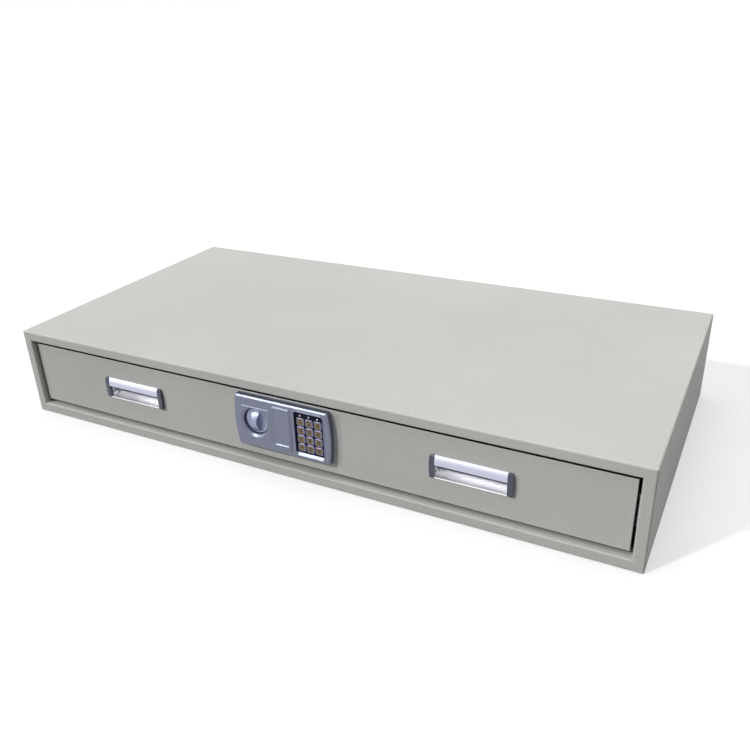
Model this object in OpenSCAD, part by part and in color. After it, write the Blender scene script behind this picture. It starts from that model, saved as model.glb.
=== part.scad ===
// Under-bed safe: a low steel casing with one wide drawer on ball-bearing slides, two recessed
// pulls, and an electronic lock with a keypad, an override key and a turn knob that throws two bolts.
// X runs to the right, Y to the back and Z up. The origin is the middle of the casing's base.
// At rest the drawer is shut, the bolts are drawn in and the coil holds its plunger back.

/* [Casing] */
// Width of the casing
case_w = 1219; // [1000:1:1500]
// Depth of the casing
case_d = 609; // [600:1:800]
// Height of the casing
case_h = 178; // [172:1:240]
// Thickness of the casing's sheet steel
case_t = 2; // [1.5:0.5:3]
// Outer radius of the casing's bends
bend_r = 3; // [2.5:0.5:4]
// Width of the rim round the mouth
rim_w = 19; // [18:1:24]
// How far the mouth's return lip reaches back from the front
lip_d = 14.5; // [12:0.5:15]
// How far the lip along the mouth's lower edge reaches back from the front
low_lip_d = 30; // [20:1:34]
// Radius of the fold at the mouth's edge
mouth_r = 2.5; // [1.5:0.5:3]
// Spacing of the floor anchor holes from side to side
anchor_x = 1000; // [600:10:1050]
// Spacing of the floor anchor holes from front to back
anchor_y = 400; // [300:10:500]
// Radius of an anchor hole
anchor_r = 5.5; // [4:0.5:7]
// How far the back panel sits in from the rear edge
back_inset = 2; // [0:0.5:5]
// Depth of the back panel's flanges
back_flange = 14; // [8:1:20]

/* [Drawer] */
// How far the drawer front lies behind the rim
front_recess = 9; // [8:0.5:10]
// Thickness of the drawer front
front_t = 2; // [1.5:0.5:2]
// Gap at each side of the drawer front
front_gap_x = 4.8; // [3:0.2:6]
// Gap above and below the drawer front
front_gap_z = 7.5; // [4:0.5:9]
// Depth of the folded edge round the drawer front
front_fold = 13; // [8:1:13]
// Radius of the drawer front's folded edges
front_r = 2; // [1:0.5:3]
// Thickness of the tray's sheet steel
tray_t = 1.5; // [1:0.25:1.5]
// Gap between the tray's floor and the folded edge below it
tray_lift = 0.5; // [0.3:0.1:1]
// Gap between the top of the tray and the top of the mouth
tray_drop = 13; // [12.8:0.1:14]
// Gap between the tray's back and the back panel
tray_back_gap = 32; // [20:1:50]
// Width of the hem along the tray's top edges
hem_w = 7; // [5:1:10]
// Number of stiffening beads pressed into the tray's floor
bead_count = 4; // [2:1:5]
// Length of a bead
bead_l = 900; // [400:10:950]
// Width of a bead
bead_w = 16; // [12:1:24]
// Height of a bead
bead_h = 2; // [1.5:0.5:3]

/* [Slides] */
// Gap between the slides and the side of the mouth
slide_gap = 2; // [1.5:0.5:4]
// Height of a slide's outer rail
slide_h = 53; // [53:1:60]
// Depth of a slide from side to side
slide_d = 16; // [16:0.5:18]
// Thickness of the rails' sheet
slide_t = 1.5; // [1.25:0.25:1.5]
// Length of every rail
slide_l = 545; // [500:5:550]
// Radius of the balls
ball_r = 2.2; // [2:0.1:2.3]
// Running gap round the balls
ball_gap = 0.3; // [0.3:0.05:0.4]
// Number of balls in each row
ball_count = 8; // [4:1:10]
// Length of a ball cage
cage_l = 220; // [180:5:230]
// Where a cage's front end stands behind the rails' front ends
cage_y = 138; // [130:1:145]

/* [Handles] */
// Distance of each pull from the middle of the drawer
handle_x = 340; // [250:1:400]
// Height of the pulls' middle above the middle of the drawer
handle_rise = 3; // [-5:1:8]
// Length of a pull over its end caps
handle_l = 138.5; // [120:0.5:170]
// Height of a pull
handle_h = 41; // [38:1:44]
// How far a pull stands proud of the drawer front
handle_proud = 5; // [3.5:0.25:6]
// Width of an end cap
cap_w = 9.75; // [9:0.25:12]
// Height of the hood over the finger space
hood_h = 16.5; // [14:0.5:18]
// Height of the lip under the finger space
sill_h = 2.7; // [2:0.1:4]
// Depth of the finger space behind the drawer front
grip_d = 22; // [18:1:26]
// Thickness of the pull's aluminium
grip_t = 1.6; // [1.2:0.1:2]

/* [Lock panel] */
// Width of the lock panel along its top
lock_w = 185; // [184:1:200]
// How far each side of the lock panel bows out
lock_bow = 4.5; // [3:0.5:6]
// Height of the lock panel
lock_h = 99; // [98:1:104]
// Height of the lock panel's middle above the middle of the drawer
lock_rise = 9; // [8:0.5:9]
// How far the lock panel stands off the drawer front
lock_t = 12.5; // [12.5:0.5:13.5]
// Wall of the lock panel's moulding
lock_wall = 2.5; // [2:0.25:2.75]
// Distance of the knob's axis to the left of the middle
knob_x = 54; // [52:0.5:55]
// Height of the knob's axis above the middle of the lock panel
knob_rise = 1; // [0:0.5:2]
// Radius of the knob
knob_r = 23.5; // [22:0.5:24]
// Radius of the knob's recess at its mouth
knob_well_r = 28.5; // [28:0.25:28.75]
// How deep the knob's rim lies in its well
knob_sink = 7.5; // [6.5:0.5:8]
// Height of the knob's ridge over its face
ridge_h = 9.5; // [8:0.5:10.5]
// Width of the override cover
cover_w = 37; // [35:0.5:38]
// Height of the override cover
cover_h = 82; // [78:1:84]
// Place of the override cover's middle to the right of the middle
cover_x = 1.8; // [1:0.1:3]
// Radius of the override lock's barrel
barrel_r = 9.5; // [8.5:0.25:9.5]
// Radius of the override lock's plug
plug_r = 6.5; // [5:0.25:7]

/* [Keypad] */
// Width of the keypad's window
window_w = 56; // [55:0.5:57]
// Height of the keypad's window
window_h = 78; // [77:0.5:79]
// Place of the window's middle to the right of the middle
window_x = 56.2; // [55.5:0.1:57]
// Depth of the window behind the panel's face
window_d = 2.6; // [2:0.2:2.8]
// Width of a key
key_w = 15; // [13:0.25:15]
// Height of a key
key_h = 14.7; // [13:0.25:14.7]
// Distance between key columns
key_pitch_x = 17; // [16.8:0.1:17.2]
// Distance between key rows
key_pitch_z = 16.5; // [16.3:0.1:16.7]
// How far a key stands proud of the window
key_proud = 1.4; // [1.2:0.1:2]
// Travel of a key
key_travel = 1; // [0.5:0.1:1]

/* [Bolt work] */
// Radius at which the crank pin turns
crank_r = 12; // [10:0.5:12]
// Radius of a locking bolt
bolt_r = 7; // [5:0.5:7]
// Distance of each bolt from the knob's axis
bolt_x = 34; // [32:1:35]
// Gap between the drawn-in bolts and the top of the mouth
bolt_drop = 4.5; // [3:0.5:6]
// Height of the lock cover
lock_box_h = 115; // [112:1:116]
// Width of the lock cover
lock_box_w = 236; // [230:1:250]
// Depth of the lock cover
lock_box_d = 46; // [46:1:52]
// Travel of the coil's plunger
plunger_travel = 5; // [3:0.5:6]
// Travel of the battery door
door_travel = 14; // [8:1:14]

/* [Hidden] */
$fn = 48;

// Clearances
fit_gap = 0.05;
run_gap = 0.3;
loose_gap = 0.5;
over = 1;

// Casing
front_y = -case_d / 2;
back_y = case_d / 2;
mid_z = case_h / 2;
mouth_w = case_w - 2 * rim_w;
mouth_h = case_h - 2 * rim_w;
mouth_top = case_h - rim_w;
lip_y = front_y + lip_d;
low_lip_y = front_y + low_lip_d;
back_panel_y = back_y - back_inset;

// Drawer
face_y = front_y + front_recess;
wall_y = face_y + front_t;
inside_y = wall_y + tray_t;
face_w = mouth_w - 2 * front_gap_x;
face_h = mouth_h - 2 * front_gap_z;
face_z0 = rim_w + front_gap_z;
floor_z = face_z0 + front_t + tray_lift;
tray_top = mouth_top - tray_drop;
tray_back_y = back_panel_y - case_t - tray_back_gap;

// Slides, in a section plane where u runs inward from the outer rail and v up from its middle
rail_x = mouth_w / 2 - slide_gap;
tray_w = 2 * (rail_x - slide_d);
rail_y = face_y + front_t + front_fold + 2.5;
race_r = ball_r + ball_gap;
race_out = race_r + slide_t;
race_turn = [-20, 90];
inner_race_turn = [195, 270];
outer_v = slide_h / 2 - race_out;
outer_u = race_out + 4;
middle_v = outer_v - race_r;
middle_u = 2 * slide_t;
inner_v = middle_v - race_out;
inner_u = middle_u + slide_t + race_out + 1.1;
rivet_places = [40, 190, 340, 505];
screw_places = [60, 230, 400, 520];
rivet_r = 2.5;
rivet_head_r = 4.5;
rivet_head_t = 2;

// Screws
screw_r = 1.75;
screw_head_r = 3.5;
screw_head_t = 2.2;

// Handles
handle_z = mid_z + handle_rise;
cap_screw_x = handle_l / 2 - cap_w / 2;
cap_boss_r = 3.6;
grip_l = handle_l - 2 * cap_w;
handle_y = face_y - handle_proud;
grip_low = handle_z - handle_h / 2 + sill_h;
grip_top = handle_z + handle_h / 2 - grip_t - 2.6;
hood_low = handle_z + handle_h / 2 - hood_h;
hood_t = 2.4;
pull_bow_h = 9.5;
pull_bow_d = handle_proud - 1.2;
pull_bow_r = (pull_bow_h * pull_bow_h + pull_bow_d * pull_bow_d) / (2 * pull_bow_d);
lip_t = 2;
lip_dip = 0.5;
cap_lift = handle_proud + 0.6;
cap_bow = 1.2;
pull_gap = 0.2;

// Lock panel
lock_z = mid_z + lock_rise;
lock_y = face_y - lock_t;
lock_in_y = lock_y + lock_wall;
knob_z = lock_z + knob_rise;
plateau_y = lock_y - 1;
knob_rim_y = plateau_y + knob_sink;
knob_back_y = face_y - 1.7;
hub_r = 9;
bush_r = 11;
bush_flange_r = 13;
bush_flange_t = 1;
cup_floor_t = 1.2;
spindle_r = 4;
cover_seat_y = lock_y + 0.8;
pocket_y = cover_seat_y + 1.8;
barrel_flange_r = barrel_r + 1.5;
barrel_back_y = inside_y + 16;
nut_af = 24;
nut_t = 6;
boss_x = lock_w / 2 - 3;
boss_dz = 21;
lock_boss_r = 3.3;
prong_z = cover_h / 2 - 7;

// Keypad
window_z = lock_z + 1;
window_y = lock_y + window_d;
window_t = 1.2;
ledge_t = 1.2;
key_z0 = window_z - 28;
key_flange_t = 0.8;
board_y = window_y + window_t + 4.3;
board_t = 1.6;
dome_h = 0.8;
light_z = key_z0 + 3 * key_pitch_z + 11.6;
light_dx = -0.5;
light_r = 1.4;
board_boss_r = 1.5;
board_boss_dx = window_w / 2 - 0.1;
board_boss_dz = window_h / 2 - 6;

// Bolt work
throw_z = 2 * crank_r * sin(45);
crank_t = 2;
crank_y = inside_y + loose_gap;
carrier_t = 3;
carrier_y = crank_y + crank_t + loose_gap;
carrier_back_y = carrier_y + carrier_t;
pin_r = 3;
pin_slack = 0.6;
stud_r = 4;
stud_head_r = 6.5;
stud_head_t = 2;
stud_places = [[-34, -7], [26, -21]];
bolt_y = inside_y + 24;
bolt_top = mouth_top - bolt_drop;
shelf_z = knob_z + 19;
shelf_t = 3;
carrier_x0 = -knob_x - 46;
carrier_x1 = -14;
carrier_z0 = knob_z - 49;
tooth_z = knob_z - 40.4;
tooth_h = 7.4;
tooth_t = 2;
carrier_cut = [12, 14];
carrier_relief = [26, 14];
carrier_relief_at = [-12, -34];
carrier_relief_r = 4;
shelf_over_x = 6;
shelf_over_y = 4;
gusset_t = 2;
gusset_h = 22;
bolt_shank_r = 4;
bolt_rivet_r = 5.5;
bolt_rivet_t = 1.5;
bolt_chamfer = 1.5;
strike_t = 3;
strike_over = 26;
strike_back_y = bolt_y - bolt_r - 2;
plunger_z = knob_z - 27;
plunger_y = inside_y + 12;
plunger_r = 3;
coil_x0 = 34;
coil_x1 = 72;
coil_r = 9;
tab_x = cover_x + 15.7;
cam_l = 19.95;
cam_r = 4;
cam_t = 2;
cam_y = barrel_back_y + loose_gap;

// Lock cover, batteries and reset switch
lock_box_t = 1.5;
lock_box_z0 = floor_z + tray_t + 1.5;
lock_box_top = lock_box_z0 + lock_box_h;
lock_box_y = inside_y + lock_box_d;
cell_r = 7.1;
cell_l = 49.2;
cell_pitch = 15.4;
cell_count = 4;
cells_h = cell_pitch * (cell_count - 1) + 2 * cell_r;
case_wall = 1.6;
case_in_w = 56;
case_x = 75;
case_z = lock_box_z0 + 61;
case_rim_y = lock_box_y + 3;
door_t = 1.5;
door_y = lock_box_y + 0.4;
groove = 1;
case_front_y = door_y - 0.8 - 2 * cell_r - case_wall;
cell_y = case_front_y + case_wall + cell_r + 0.2;
reset_x = -100;
reset_z = lock_box_z0 + 18;
reset_r = 3.4;
cover_screw_x = lock_box_w / 2 + 5;
cover_screw_dz = lock_box_h / 2 - 17;
cover_mid_z = lock_box_z0 + lock_box_h / 2;
wire_r = 1.6;
wire_x = 60;
wire_z = knob_z + 19;

// Colours
paint = [0.74, 0.74, 0.71];
zinc = [0.72, 0.74, 0.76];
bright_steel = [0.86, 0.87, 0.88];
silver = [0.58, 0.60, 0.68];
aluminium = [0.88, 0.88, 0.92];
dark_plastic = [0.22, 0.24, 0.30];
black_plastic = [0.05, 0.05, 0.07];
brass_colour = [0.80, 0.66, 0.34];
board_green = [0.10, 0.35, 0.18];
key_gold = [0.55, 0.45, 0.20];
nylon = [0.92, 0.92, 0.88];

// Helpers: an outline drawn in X and Z is carried along Y, one in Y and Z along X
module along_y(y0, y1) {
    translate([0, y1, 0]) rotate([90, 0, 0]) linear_extrude(y1 - y0) children();
}
module along_x(x0, x1) {
    translate([x0, 0, 0]) rotate([90, 0, 90]) linear_extrude(x1 - x0) children();
}
module along_z(z0, z1) {
    translate([0, 0, z0]) linear_extrude(z1 - z0) children();
}
module rod_y(x, z, r, y0, y1) {
    translate([x, y1, z]) rotate([90, 0, 0]) cylinder(h = y1 - y0, r = r);
}
module rod_x(y, z, r, x0, x1) {
    translate([x0, y, z]) rotate([0, 90, 0]) cylinder(h = x1 - x0, r = r);
}
module rod_z(x, y, r, z0, z1) {
    translate([x, y, z0]) cylinder(h = z1 - z0, r = r);
}
module block(x0, x1, y0, y1, z0, z1) {
    translate([x0, y0, z0]) cube([x1 - x0, y1 - y0, z1 - z0]);
}
module both_sides() {
    children();
    mirror([1, 0, 0]) children();
}

// A rectangle with round corners, about its middle
module rounded(w, h, r) {
    square([w - 2 * r, h], center = true);
    square([w, h - 2 * r], center = true);
    for (sx = [-1, 1], sy = [-1, 1])
        translate([sx * (w / 2 - r), sy * (h / 2 - r)]) circle(r);
}

// A slot with round ends along the second axis, from one end's centre to the other's
module slot(a, b, r) {
    translate([-r, a]) square([2 * r, b - a]);
    translate([0, a]) circle(r);
    translate([0, b]) circle(r);
}

// A rectangle whose two corners on the low side of the second axis are round
module low_round(w, d, r) {
    translate([-w / 2, r]) square([w, d - r]);
    translate([-w / 2 + r, 0]) square([w - 2 * r, d]);
    for (s = [-1, 1]) translate([s * (w / 2 - r), r]) circle(r);
}

// A rectangle that flares out by a radius at the low side of the second axis
module low_flare(w, d, r) {
    translate([-w / 2, -over]) square([w, d + over]);
    difference() {
        translate([-w / 2 - r, -over]) square([w + 2 * r, r + over]);
        for (s = [-1, 1]) translate([s * (w / 2 + r), r]) circle(r);
        for (s = [-1, 1]) translate([s * (w / 2 + 1.5 * r), r]) square([r, 3 * r], center = true);
    }
}

// A sheet-metal block seen from the front, with its front edges folded to a radius
module folded_block(w, h, z, y0, y1, r, corner_r) {
    intersection() {
        along_y(y0, y1) translate([0, z]) rounded(w, h, corner_r);
        along_z(z - h, z + h) translate([0, y0]) low_round(w, y1 - y0, r);
        along_x(-w, w) translate([0, z]) rotate(90) mirror([0, 1])
            translate([0, y0]) low_round(h, y1 - y0, r);
    }
}

// An opening seen from the front, whose edges roll outward to a radius
module flared_opening(w, h, z, y0, y1, r) {
    intersection() {
        along_z(z - h, z + h) translate([0, y0]) low_flare(w, y1 - y0, r);
        along_x(-w, w) translate([0, z]) rotate(90) mirror([0, 1])
            translate([0, y0]) low_flare(h, y1 - y0, r);
    }
}

// A length of ring between two angles
module ring_arc(c, r0, r1, turn) {
    steps = 8;
    translate(c) intersection() {
        difference() {
            circle(r1);
            circle(r0);
        }
        polygon(concat([[0, 0]], [for (i = [0 : steps]) let(a = turn[0] + (turn[1] - turn[0]) * i / steps)
            2 * r1 * [cos(a), sin(a)]]));
    }
}

// Casing

// Wrap, rim and return lip folded from one sheet
module casing_shell() {
    color(paint) difference() {
        union() {
            difference() {
                folded_block(case_w, case_h, mid_z, front_y, back_y, bend_r, bend_r);
                along_y(front_y + case_t, back_y + over) translate([0, mid_z])
                    rounded(case_w - 2 * case_t, case_h - 2 * case_t, bend_r - case_t);
            }
            along_y(front_y + case_t / 2, lip_y) translate([0, mid_z])
                square([mouth_w + 2 * case_t, mouth_h + 2 * case_t], center = true);
            block(-mouth_w / 2, mouth_w / 2, lip_y - over, low_lip_y, rim_w - case_t, rim_w);
        }
        along_y(front_y - over, lip_y + over) translate([0, mid_z])
            square([mouth_w, mouth_h], center = true);
        flared_opening(mouth_w, mouth_h, mid_z, front_y, front_y + mouth_r, mouth_r);
        for (x = [-1, 1], y = [-1, 1])
            rod_z(x * anchor_x / 2, y * anchor_y / 2, anchor_r, -over, case_t + over);
    }
}

// Pan that closes the back, with its flanges turned forward inside the wrap
module back_panel() {
    pan_w = case_w - 2 * case_t - 2 * fit_gap;
    pan_h = case_h - 2 * case_t - 2 * fit_gap;
    pan_r = 1;
    color(paint) difference() {
        along_y(back_panel_y - case_t - back_flange, back_panel_y) translate([0, mid_z])
            rounded(pan_w, pan_h, pan_r);
        along_y(back_panel_y - case_t - back_flange - over, back_panel_y - case_t)
            translate([0, mid_z]) square([pan_w - 2 * case_t, pan_h - 2 * case_t], center = true);
    }
}

// Angle welded behind the rim, which the bolts rise behind
module strike_bar() {
    bottom = mouth_top + case_t;
    top = case_h - case_t;
    foot_y = front_y + 1.5 * case_t;
    reach = bolt_x + strike_over;
    color(zinc) along_x(-knob_x - reach, -knob_x + reach) polygon([
        [foot_y, bottom], [strike_back_y, bottom], [strike_back_y, top],
        [strike_back_y - strike_t, top], [strike_back_y - strike_t, bottom + strike_t],
        [foot_y, bottom + strike_t]]);
}

// Hat-shaped channel that carries a slide clear of the mouth's side
module slide_bracket() {
    wall_x = case_w / 2 - case_t;
    web_h = slide_h / 2 + 5.5;
    foot = 12;
    difference() {
        along_y(rail_y, rail_y + slide_l) translate([0, mid_z]) {
            translate([rail_x, -web_h]) square([case_t, 2 * web_h]);
            for (s = [0, 1]) mirror([0, s]) {
                translate([rail_x, web_h - case_t]) square([wall_x - rail_x, case_t]);
                translate([wall_x - case_t, web_h - case_t]) square([case_t, foot + case_t]);
            }
        }
        for (p = rivet_places)
            rod_x(rail_y + p, mid_z, rivet_r + fit_gap, rail_x - over, rail_x + case_t + over);
    }
}
module slide_bracket_right() {
    color(zinc) slide_bracket();
}
module slide_bracket_left() {
    color(zinc) mirror([1, 0, 0]) slide_bracket();
}

// Slides

// Sets a rail's section in its place on the right side
module rail_section() {
    translate([rail_x, mid_z]) mirror([1, 0]) children();
}
module above_and_below() {
    children();
    mirror([0, 1]) children();
}

module outer_rail() {
    difference() {
        along_y(rail_y, rail_y + slide_l) rail_section() {
            translate([0, -slide_h / 2]) square([slide_t, slide_h]);
            above_and_below() {
                translate([0, slide_h / 2 - slide_t]) square([outer_u, slide_t]);
                ring_arc([outer_u, outer_v], race_r, race_out, race_turn);
            }
        }
        for (p = rivet_places)
            rod_x(rail_y + p, mid_z, rivet_r + fit_gap, rail_x - slide_t - over, rail_x + over);
    }
}
module outer_rail_right() {
    color(zinc) outer_rail();
}
module outer_rail_left() {
    color(zinc) mirror([1, 0, 0]) outer_rail();
}

module middle_rail() {
    top = middle_v;
    along_y(rail_y, rail_y + slide_l) rail_section() {
        translate([middle_u, -top]) square([slide_t, 2 * top]);
        above_and_below() {
            translate([middle_u, top - slide_t]) square([inner_u - middle_u, slide_t]);
            ring_arc([inner_u, inner_v], race_r, race_out, race_turn);
        }
    }
}
module middle_rail_right() {
    color(zinc) middle_rail();
}
module middle_rail_left() {
    color(zinc) mirror([1, 0, 0]) middle_rail();
}

module inner_rail() {
    top = inner_v - race_r;
    difference() {
        along_y(rail_y, rail_y + slide_l) rail_section() {
            translate([slide_d - slide_t, -top]) square([slide_t, 2 * top]);
            above_and_below() {
                translate([inner_u, top - slide_t]) square([slide_d - inner_u, slide_t]);
                ring_arc([inner_u, inner_v], race_r, race_out, inner_race_turn);
            }
        }
        for (p = screw_places)
            rod_x(rail_y + p, mid_z, screw_r + fit_gap, tray_w / 2 - over, rail_x);
    }
}
module inner_rail_right() {
    color(zinc) inner_rail();
}
module inner_rail_left() {
    color(zinc) mirror([1, 0, 0]) inner_rail();
}

// Strip with a row of balls along its top and bottom edges
module ball_cage(web_u, row_u, row_v, sheet) {
    y0 = rail_y + cage_y;
    end_gap = 12;
    tip_u = row_u + ball_r / 2;
    step = (cage_l - 2 * end_gap) / (ball_count - 1);
    along_y(y0, y0 + cage_l) rail_section() {
        translate([web_u, -row_v]) square([sheet, 2 * row_v]);
        above_and_below() translate([web_u, row_v - sheet / 2])
            square([tip_u - web_u, sheet]);
    }
    for (i = [0 : ball_count - 1], s = [-1, 1])
        translate([rail_x - row_u, y0 + end_gap + i * step, mid_z + s * row_v])
            rotate([90, 0, 0]) sphere(ball_r);
}
module outer_cage() {
    ball_cage(slide_t + 0.45, outer_u, outer_v, 0.6);
}
module inner_cage() {
    ball_cage(middle_u + slide_t + run_gap, inner_u, inner_v, 0.5);
}
module ball_cage_outer_right() {
    color(bright_steel) outer_cage();
}
module ball_cage_outer_left() {
    color(bright_steel) mirror([1, 0, 0]) outer_cage();
}
module ball_cage_inner_right() {
    color(bright_steel) inner_cage();
}
module ball_cage_inner_left() {
    color(bright_steel) mirror([1, 0, 0]) inner_cage();
}

// Rivets that hold the outer rails to their brackets, flush inside the rail
module rail_rivets() {
    color(bright_steel) both_sides() for (p = rivet_places) {
        rod_x(rail_y + p, mid_z, rivet_r, rail_x - slide_t, rail_x + case_t + rivet_head_t);
        rod_x(rail_y + p, mid_z, rivet_head_r, rail_x + case_t, rail_x + case_t + rivet_head_t);
    }
}

// Drawer

// Cut-outs through the drawer front and the tray's front wall
module front_holes(y0, y1) {
    for (s = [-1, 1]) {
        along_y(y0, y1) translate([s * handle_x, 0]) grip_hole(grip_top + grip_t + pull_gap);
        for (c = [-1, 1])
            rod_y(s * handle_x + c * cap_screw_x, handle_z, cap_boss_r + 0.2, y0, y1);
        for (c = [-1, 1])
            rod_y(s * boss_x, lock_z + c * boss_dz, screw_r + 0.2, y0, y1);
    }
    rod_y(-knob_x, knob_z, bush_r + fit_gap, y0, y1);
    rod_y(cover_x, knob_z, barrel_r + 0.2, y0, y1);
    rod_y(wire_x, wire_z, wire_r + 1.4, y0, y1);
}

// Pan with folded edges
module drawer_front() {
    color(paint) difference() {
        folded_block(face_w, face_h, mid_z, face_y, wall_y + front_fold, front_r, front_r);
        along_y(wall_y, wall_y + front_fold + over) translate([0, mid_z])
            square([face_w - 2 * front_t, face_h - 2 * front_t], center = true);
        front_holes(face_y - over, wall_y + over);
    }
}

// One bead along X: a capsule's cap that stands out of the floor
module bead(y, z, r, h, l) {
    rod_x(y, z + h - r, r, -l / 2, l / 2);
    for (s = [-1, 1]) translate([s * l / 2, y, z + h - r]) sphere(r);
}

// Floor, sides and back of the tray, of bent sheet with hemmed edges and beads in the floor
module drawer_tray() {
    in_w = tray_w - 2 * tray_t;
    floor_top = floor_z + tray_t;
    bead_r = (bead_w * bead_w / 4 + bead_h * bead_h) / (2 * bead_h);
    bead_y0 = lock_box_y + 30;
    bead_step = (tray_back_y - 40 - bead_y0) / (bead_count - 1);
    color(paint) {
        difference() {
            union() {
                block(-tray_w / 2, tray_w / 2, inside_y, tray_back_y, floor_z, floor_top);
                block(-tray_w / 2, tray_w / 2, tray_back_y - tray_t, tray_back_y, floor_z, tray_top);
                block(-in_w / 2, in_w / 2, tray_back_y - hem_w, tray_back_y, tray_top - tray_t, tray_top);
                both_sides() {
                    block(in_w / 2, tray_w / 2, inside_y, tray_back_y, floor_z, tray_top);
                    block(tray_w / 2 - hem_w, tray_w / 2, inside_y, tray_back_y,
                        tray_top - tray_t, tray_top);
                }
                intersection() {
                    for (i = [0 : bead_count - 1])
                        bead(bead_y0 + i * bead_step, floor_top, bead_r, bead_h, bead_l);
                    block(-tray_w / 2, tray_w / 2, inside_y, tray_back_y,
                        floor_z, floor_top + bead_h);
                }
            }
            for (i = [0 : bead_count - 1])
                bead(bead_y0 + i * bead_step, floor_z, bead_r, bead_h, bead_l);
            both_sides() for (p = screw_places)
                rod_x(rail_y + p, mid_z, screw_r + fit_gap, in_w / 2 - over, tray_w / 2 + over);
        }
    }
}

// Front wall welded across the tray, which the drawer front, the lock and the pulls are fixed to,
// cut out from its top edge down round the pulls' troughs
module tray_front() {
    color(paint) difference() {
        block(-tray_w / 2, tray_w / 2, wall_y, inside_y, floor_z, tray_top);
        front_holes(wall_y - over, inside_y + over);
        for (s = [-1, 1]) {
            along_y(wall_y - over, inside_y + over) translate([s * handle_x, 0]) grip_hole(tray_top + over);
            for (c = [-1, 1])
                rod_y(s * cover_screw_x, cover_mid_z + c * cover_screw_dz, screw_r + fit_gap,
                    wall_y - over, inside_y + over);
        }
        for (p = stud_places)
            rod_y(-knob_x + p[0], knob_z + p[1], stud_r - 1 + fit_gap, wall_y - over, inside_y + over);
    }
}

// One pan-head screw along Y with its head at the back
module screw_y(x, z, y, length) {
    rod_y(x, z, screw_r, y - length, y);
    rod_y(x, z, screw_head_r, y, y + screw_head_t);
}

// Screws of the inner rails, the lock panel, the lock cover and the pulls' end caps
module drawer_screws() {
    rail_screw_l = 7;
    seat_x = tray_w / 2 + slide_t;
    color(bright_steel) {
        both_sides() for (p = screw_places) {
            rod_x(rail_y + p, mid_z, screw_r, seat_x - rail_screw_l, seat_x);
            rod_x(rail_y + p, mid_z, screw_head_r, seat_x, seat_x + screw_head_t);
        }
        for (s = [-1, 1], c = [-1, 1]) {
            screw_y(s * boss_x, lock_z + c * boss_dz, inside_y, tray_t + front_t + 5);
            screw_y(s * cover_screw_x, cover_mid_z + c * cover_screw_dz, inside_y + lock_box_t,
                tray_t + lock_box_t);
            for (h = [-1, 1]) rod_y(h * handle_x + s * cap_screw_x, handle_z, screw_r,
                inside_y - 4, inside_y + fit_gap);
        }
        for (s = [-1, 1], h = [-1, 1])
            rod_y(h * handle_x + s * cap_screw_x, handle_z, cap_boss_r + 1, inside_y,
                inside_y + screw_head_t);
    }
}

// Handles
// Hole for a pull's trough, up to a height
module grip_hole(high) {
    low = grip_low - lip_dip - grip_t - pull_gap;
    translate([-grip_l / 2 - pull_gap, low]) square([grip_l + 2 * pull_gap, high - low]);
}

// Finger space in section: behind the lip the floor is a quarter of an ellipse, the roof turns
// over a radius, and the space reaches forward inside the hood
module grip_space() {
    y0 = handle_y + lip_t + lip_dip;
    floor_d = face_y + grip_d - y0;
    deep = face_y + grip_d;
    turn_r = 8;
    low = grip_low - lip_dip;
    rise = grip_top - turn_r - low;
    steps = 14;
    polygon(concat(
        [[handle_y - over, grip_low], [handle_y + lip_t, grip_low]],
        [for (i = [0 : steps]) let(a = 90 * i / steps)
            [y0 + floor_d * sin(a), low + rise * (1 - cos(a))]],
        [for (i = [1 : steps / 2]) let(a = 180 * i / steps)
            [deep - turn_r + turn_r * cos(a), grip_top - turn_r + turn_r * sin(a)]],
        [[face_y, grip_top], [handle_y + hood_t, handle_z + handle_h / 2 - pull_bow_h],
            [handle_y + hood_t, hood_low], [handle_y - over, hood_low]]));
}

// Profile with a hood above, a rolled lip below and a concave trough, and its two end walls
module handle_body() {
    edge_r = 1.2;
    low = handle_z - handle_h / 2;
    high = handle_z + handle_h / 2;
    end_t = 1.2;
    module skin() {
        intersection() {
            offset(delta = grip_t) grip_space();
            translate([face_y, low - over]) square([grip_d + 2 * grip_t, handle_h + 2 * over]);
        }
    }
    // Upright below, bowed back over the top, and round along the lower edge
    module front_plate() {
        intersection() {
            translate([handle_y, low]) square([handle_proud, handle_h]);
            union() {
                translate([handle_y + pull_bow_r, high - pull_bow_h]) circle(pull_bow_r, $fn = 360);
                translate([handle_y, low + edge_r])
                    square([handle_proud, handle_h - pull_bow_h - edge_r]);
                translate([handle_y + edge_r, low]) square([handle_proud, 2 * edge_r]);
                translate([handle_y + edge_r, low + edge_r]) circle(edge_r);
            }
        }
    }
    along_x(-grip_l / 2, grip_l / 2) difference() {
        union() {
            front_plate();
            skin();
        }
        grip_space();
    }
    for (s = [0, 1]) mirror([s, 0, 0])
        along_x(grip_l / 2 - end_t, grip_l / 2) skin();
}
module handle_left() {
    color(aluminium) translate([-handle_x, 0, 0]) handle_body();
}
module handle_right() {
    color(aluminium) translate([handle_x, 0, 0]) handle_body();
}

// Outline of an end cap seen from the front, with its outer side bowed out
module cap_outline(inset, corner) {
    side_r = (handle_h * handle_h / 4 + cap_bow * cap_bow) / (2 * cap_bow);
    intersection() {
        rounded(cap_w - 2 * inset, handle_h - 2 * inset, corner);
        translate([cap_w / 2 - inset - side_r, 0]) circle(side_r, $fn = 360);
    }
}

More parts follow.
